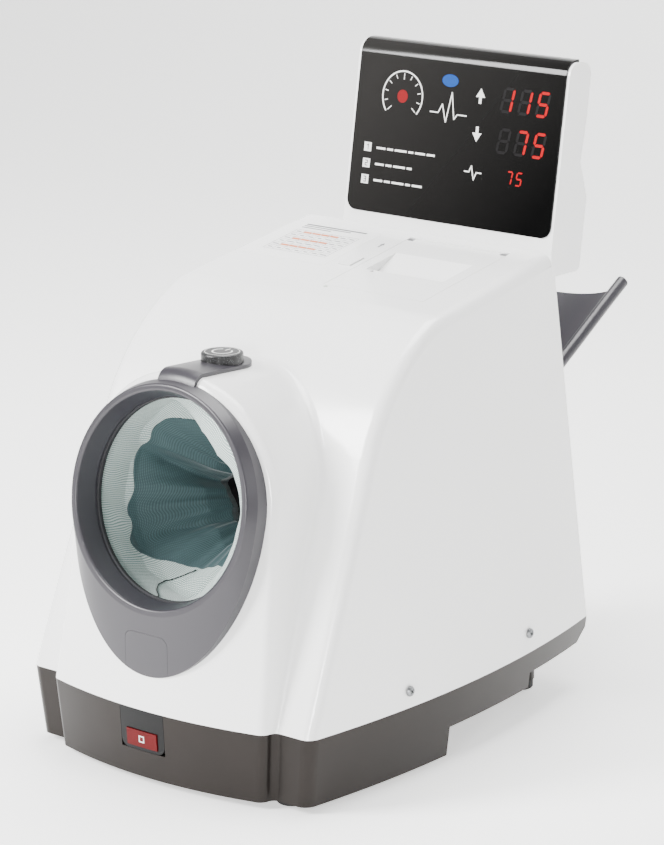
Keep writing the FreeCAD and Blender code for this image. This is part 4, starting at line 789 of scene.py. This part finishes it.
NUMERALS = {0: [stroke(-0.6, 1.2, 0.4, 2, 0.7), stroke(0.4, 2, 0.4, -2, 0.7)],
            1: [bar(0, 2, 2.6, 0.7), stroke(1, 2, 1, 0, 0.7), bar(0, 0, 2.6, 0.7),
                stroke(-1, 0, -1, -2, 0.7), bar(0, -2, 2.6, 0.7)],
            2: [bar(0, 2, 2.6, 0.7), bar(0.2, 0, 2.0, 0.7), bar(0, -2, 2.6, 0.7),
                stroke(1, 2, 1, -2, 0.7)]}
numbers = [[(x + STEP_X, y + v) for x, y in outline]
           for n, v in enumerate(STEP_ROWS) for outline in NUMERALS[n]]
black_ink = ink("ink_screen_print_black", "#0A0A0B")
sign_surface = BVHTree.FromObject(bpy.data.objects["window_signs"],
                                  bpy.context.evaluated_depsgraph_get())
printed("step_numbers", numbers, window_sheet, (0, 0, -1), sign_surface, black_ink, "machine",
        8.0)
red_ink = ink("ink_screen_print_red", "#780008")
blue_ink = ink("ink_screen_print_blue", "#003E88")
printed("gauge_mark_red", [disc(GAUGE_X, GAUGE_V, 5.2)], window_sheet, (0, 0, -1),
        window_surface, red_ink, "machine", 8.0)
printed("gauge_mark_blue", [disc(14, 112, 8, 0.62)], window_sheet, (0, 0, -1), window_surface,
        blue_ink, "machine", 8.0)

# ---------------------------------------------------------------------------------------------
# Rear sockets: black moulded nylon set into the rear cover.

dress(switch_black, "mains_inlet", "rocker_frame", "data_port")
dress(black_gloss, "power_rocker")

# ---------------------------------------------------------------------------------------------
# Screws: pan heads of plated steel with a cross recess, one kind in three sizes.

# Plated steel, with a dark oil that dulls the head.
screw_steel = moulded("steel_screw_zinc_plated", "#77787A", "#8E9092", 0.3, 0.6, 0.006, 4,
                      Metallic=1.0)


def cross_screw_head(name, radius, high):
    """A domed screw head with a cross cut into it, standing on the origin along +Z."""
    mesh = bpy.data.meshes.new(name)
    work = bmesh.new()
    sides = 32
    profile = [(radius, 0.0), (radius, high * 0.45), (radius * 0.86, high * 0.82),
               (radius * 0.6, high * 0.97), (radius * 0.5, high)]
    rings = [[work.verts.new((r * math.cos(2 * math.pi * n / sides),
                              r * math.sin(2 * math.pi * n / sides), z)) for n in range(sides)]
             for r, z in profile]
    for low, up in zip(rings, rings[1:]):
        for n in range(sides):
            work.faces.new((low[n], low[(n + 1) % sides], up[(n + 1) % sides], up[n]))
    work.faces.new(rings[-1])
    work.faces.new(rings[0][::-1])
    work.to_mesh(mesh)
    work.free()
    head = bpy.data.objects.new(name, mesh)
    bpy.context.scene.collection.objects.link(head)
    cutter_mesh = bpy.data.meshes.new(name + "_cross")
    work = bmesh.new()
    arm, half = radius * 0.62, radius * 0.13
    corners = [(half, half), (half, arm), (-half, arm), (-half, half), (-arm, half),
               (-arm, -half), (-half, -half), (-half, -arm), (half, -arm), (half, -half),
               (arm, -half), (arm, half)]
    top = [work.verts.new((x, y, high * 1.3)) for x, y in corners]
    low = [work.verts.new((x * 0.8, y * 0.8, high * 0.35)) for x, y in corners]
    work.faces.new(top)
    work.faces.new(low[::-1])
    for n in range(len(corners)):
        k = (n + 1) % len(corners)
        work.faces.new((low[n], low[k], top[k], top[n]))
    bmesh.ops.recalc_face_normals(work, faces=work.faces)
    work.to_mesh(cutter_mesh)
    work.free()
    cutter = bpy.data.objects.new(name + "_cross", cutter_mesh)
    bpy.context.scene.collection.objects.link(cutter)
    recess = head.modifiers.new("recess", "BOOLEAN")
    recess.object = cutter
    recess.operation = "DIFFERENCE"
    recess.solver = "EXACT"
    graph = bpy.context.evaluated_depsgraph_get()
    done = bpy.data.meshes.new_from_object(head.evaluated_get(graph), depsgraph=graph)
    bpy.data.objects.remove(head)
    bpy.data.objects.remove(cutter)
    return done


def screw_tree(name, head):
    """A node tree that stands a screw head on every point of a mesh, along its own axis."""
    tree = bpy.data.node_groups.new(name, "GeometryNodeTree")
    face = tree.interface
    face.new_socket("Geometry", in_out="INPUT", socket_type="NodeSocketGeometry")
    face.new_socket("Geometry", in_out="OUTPUT", socket_type="NodeSocketGeometry")
    sockets = {}
    for label, kind, value in (("Head", "NodeSocketObject", head),
                               ("Driven turn", "NodeSocketFloat", 3.0)):
        made = face.new_socket(label, in_out="INPUT", socket_type=kind)
        sockets[label] = (made.identifier, value)
    given = add(tree, "NodeGroupInput").outputs
    shown = add(tree, "GeometryNodeObjectInfo", {"Object": given["Head"]})
    axis = add(tree, "GeometryNodeInputNamedAttribute", {"Name": "screw_axis"},
               data_type="FLOAT_VECTOR")
    turn = add(tree, "FunctionNodeAlignRotationToVector", {"Vector": axis.outputs[0]}, axis="Z")
    driven = add(tree, "FunctionNodeRandomValue", {"Seed": 3}, data_type="FLOAT")
    tree.links.new(given["Driven turn"], driven.inputs[3])
    spin = add(tree, "ShaderNodeCombineXYZ", {"Z": driven.outputs[1]})
    placed = add(tree, "GeometryNodeInstanceOnPoints", {"Points": given["Geometry"],
                                                        "Instance": shown.outputs["Geometry"],
                                                        "Rotation": turn.outputs[0]})
    spun = add(tree, "GeometryNodeRotateInstances", {"Instances": placed.outputs[0],
                                                     "Rotation": spin.outputs[0],
                                                     "Local Space": True})
    real = add(tree, "GeometryNodeRealizeInstances", {"Geometry": spun.outputs[0]})
    coloured = add(tree, "GeometryNodeSetMaterial", {"Geometry": real.outputs[0],
                                                     "Material": screw_steel})
    add(tree, "NodeGroupOutput", {"Geometry": coloured.outputs[0]})
    return tree, sockets


# Points this near a screw's end are on the rim of that end.
RIM = 3e-4


def screw_set(name, node, radius_mm, high_mm):
    """Screws on the seats of a CAD node's screws: each has its seat and axis read from it."""
    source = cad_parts[node].data
    work = bmesh.new()
    work.from_mesh(source)
    bmesh.ops.remove_doubles(work, verts=work.verts, dist=1e-6)
    seats = []
    left = set(work.verts)
    while left:
        group, queue = set(), [next(iter(left))]
        while queue:
            vert = queue.pop()
            if vert in group:
                continue
            group.add(vert)
            queue += [e.other_vert(vert) for e in vert.link_edges]
        left -= group
        cloud = np.array([v.co for v in group])
        middle = cloud.mean(0)
        axis = np.linalg.svd(cloud - middle)[2]
        along = (cloud - middle) @ axis.T
        spread = along.max(0) - along.min(0)
        best = int(np.argmax(spread))
        line = axis[best]
        ends = (cloud - middle) @ line
        wide = []
        for end in (ends.min(), ends.max()):
            near = abs(ends - end) < RIM
            off_axis = (cloud - middle)[near] - np.outer(ends[near], line)
            wide.append(np.linalg.norm(off_axis, axis=1).max())
        if wide[0] > wide[1]:
            line, ends = -line, -ends
        seats.append((middle + line * (ends.max() - high_mm * MM), line))
    work.free()
    points = bpy.data.meshes.new(name + "_seats")
    points.from_pydata([tuple(place) for place, _ in seats], [], [])
    axes = points.attributes.new("screw_axis", "FLOAT_VECTOR", "POINT")
    for entry, (_, line) in zip(axes.data, seats):
        entry.vector = line
    head = bpy.data.objects.new(name + "_head", cross_screw_head(name, radius_mm * MM,
                                                                 high_mm * MM))
    bpy.context.scene.collection.objects.link(head)
    mesh = made_by_nodes(name, *screw_tree(name, head), source=points)
    bpy.data.objects.remove(head)
    piece = finished_piece(name, mesh, None, "machine", smooth=False)
    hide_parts(node)


screw_set("side_screw_heads", "side_screws", 4.0, 2.4)
screw_set("rear_screw_heads", "rear_screws", 3.5, 2.2)
screw_set("chassis_screw_heads", "chassis_screws", 4.0, 2.6)
dress(screw_steel, "display_screws")

# ---------------------------------------------------------------------------------------------
# Studio: a pale floor that runs up into a pale wall, soft lamps and the camera.

floor_mesh = bpy.data.meshes.new("studio_floor")
floor_work = bmesh.new()
FLOOR_FRONT, BEND_START, BEND_RADIUS, HALF_WIDE = -3.0, 1.6, 1.2, 5.0
WALL_Y, WALL_HIGH = 2.8, 4.5
sweep = [(FLOOR_FRONT, 0.0), (BEND_START, 0.0)]
sweep += [(BEND_START + BEND_RADIUS * math.sin(a), BEND_RADIUS - BEND_RADIUS * math.cos(a))
          for a in (math.radians(n * 9) for n in range(1, 11))]
sweep += [(WALL_Y, WALL_HIGH)]
rows = [[floor_work.verts.new((x, y, z)) for x in (-HALF_WIDE, HALF_WIDE)] for y, z in sweep]
for low, up in zip(rows, rows[1:]):
    floor_work.faces.new((low[0], low[1], up[1], up[0]))
floor_work.to_mesh(floor_mesh)
floor_work.free()
floor_mesh.shade_smooth()
floor = bpy.data.objects.new("studio_floor", floor_mesh)
bpy.context.scene.collection.objects.link(floor)
floor_finish, floor_tree, floor_shader, floor_place = start_finish("paper_backdrop_white",
                                                                   Roughness=0.9)
fibre = add(floor_tree, "ShaderNodeTexNoise", {"Vector": floor_place, "Scale": 60.0})
floor_tree.links.new(blend_colours(floor_tree, fibre.outputs["Fac"], "#F4F4F3", "#F7F7F6"),
                     floor_shader.inputs["Base Color"])
floor_shader.inputs["Emission Color"].default_value = linear("#F7F7F6")
floor_shader.inputs["Emission Strength"].default_value = 1.0
floor_mesh.materials.append(floor_finish)


def lamp(name, place, aim, wide, high, power):
    """A soft box that points at a place."""
    light = bpy.data.lights.new(name, "AREA")
    light.shape = "RECTANGLE"
    light.size, light.size_y = wide, high
    light.energy = power
    box = bpy.data.objects.new(name, light)
    box.location = place
    box.rotation_euler = (Vector(aim) - Vector(place)).to_track_quat("-Z", "Y").to_euler()
    bpy.context.scene.collection.objects.link(box)


AIM = (0, 0, 0.25)
lamp("key_softbox", (-1.3, -2.0, 1.6), AIM, 0.9, 1.1, 165)
lamp("top_softbox", (-0.1, 0.3, 2.2), AIM, 1.4, 1.4, 88)
lamp("side_softbox", (2.3, 0.1, 1.3), AIM, 0.5, 1.6, 14)
lamp("mouth_softbox", (1.0, -2.4, 0.7), (0, -0.2, 0.2), 0.5, 0.5, 44)
world = bpy.data.worlds.new("studio_air")
bpy.context.scene.world = world
world.use_nodes = True
world.node_tree.nodes["Background"].inputs["Color"].default_value = linear("#F2F3F5")
world.node_tree.nodes["Background"].inputs["Strength"].default_value = 0.34

EYE = Vector((1.6704, -2.06594, 0.9228))
BACKWARD = Vector((0.6148, -0.7474, 0.2521))
SIDEWAYS = Vector((0.7723, 0.6353, 0.0))
IMAGE_HIGH, FOCAL, SENSOR = 845, 3475.8, 36
view_lens = bpy.data.cameras.new("view")
view_lens.lens = SENSOR * FOCAL / IMAGE_HIGH
view_lens.sensor_width = SENSOR
view = bpy.data.objects.new("view", view_lens)
upward = BACKWARD.cross(SIDEWAYS)
view.matrix_world = (Matrix.Translation(EYE)
                     @ Matrix((SIDEWAYS, upward, BACKWARD)).transposed().to_4x4())
bpy.context.scene.collection.objects.link(view)
bpy.context.scene.camera = view
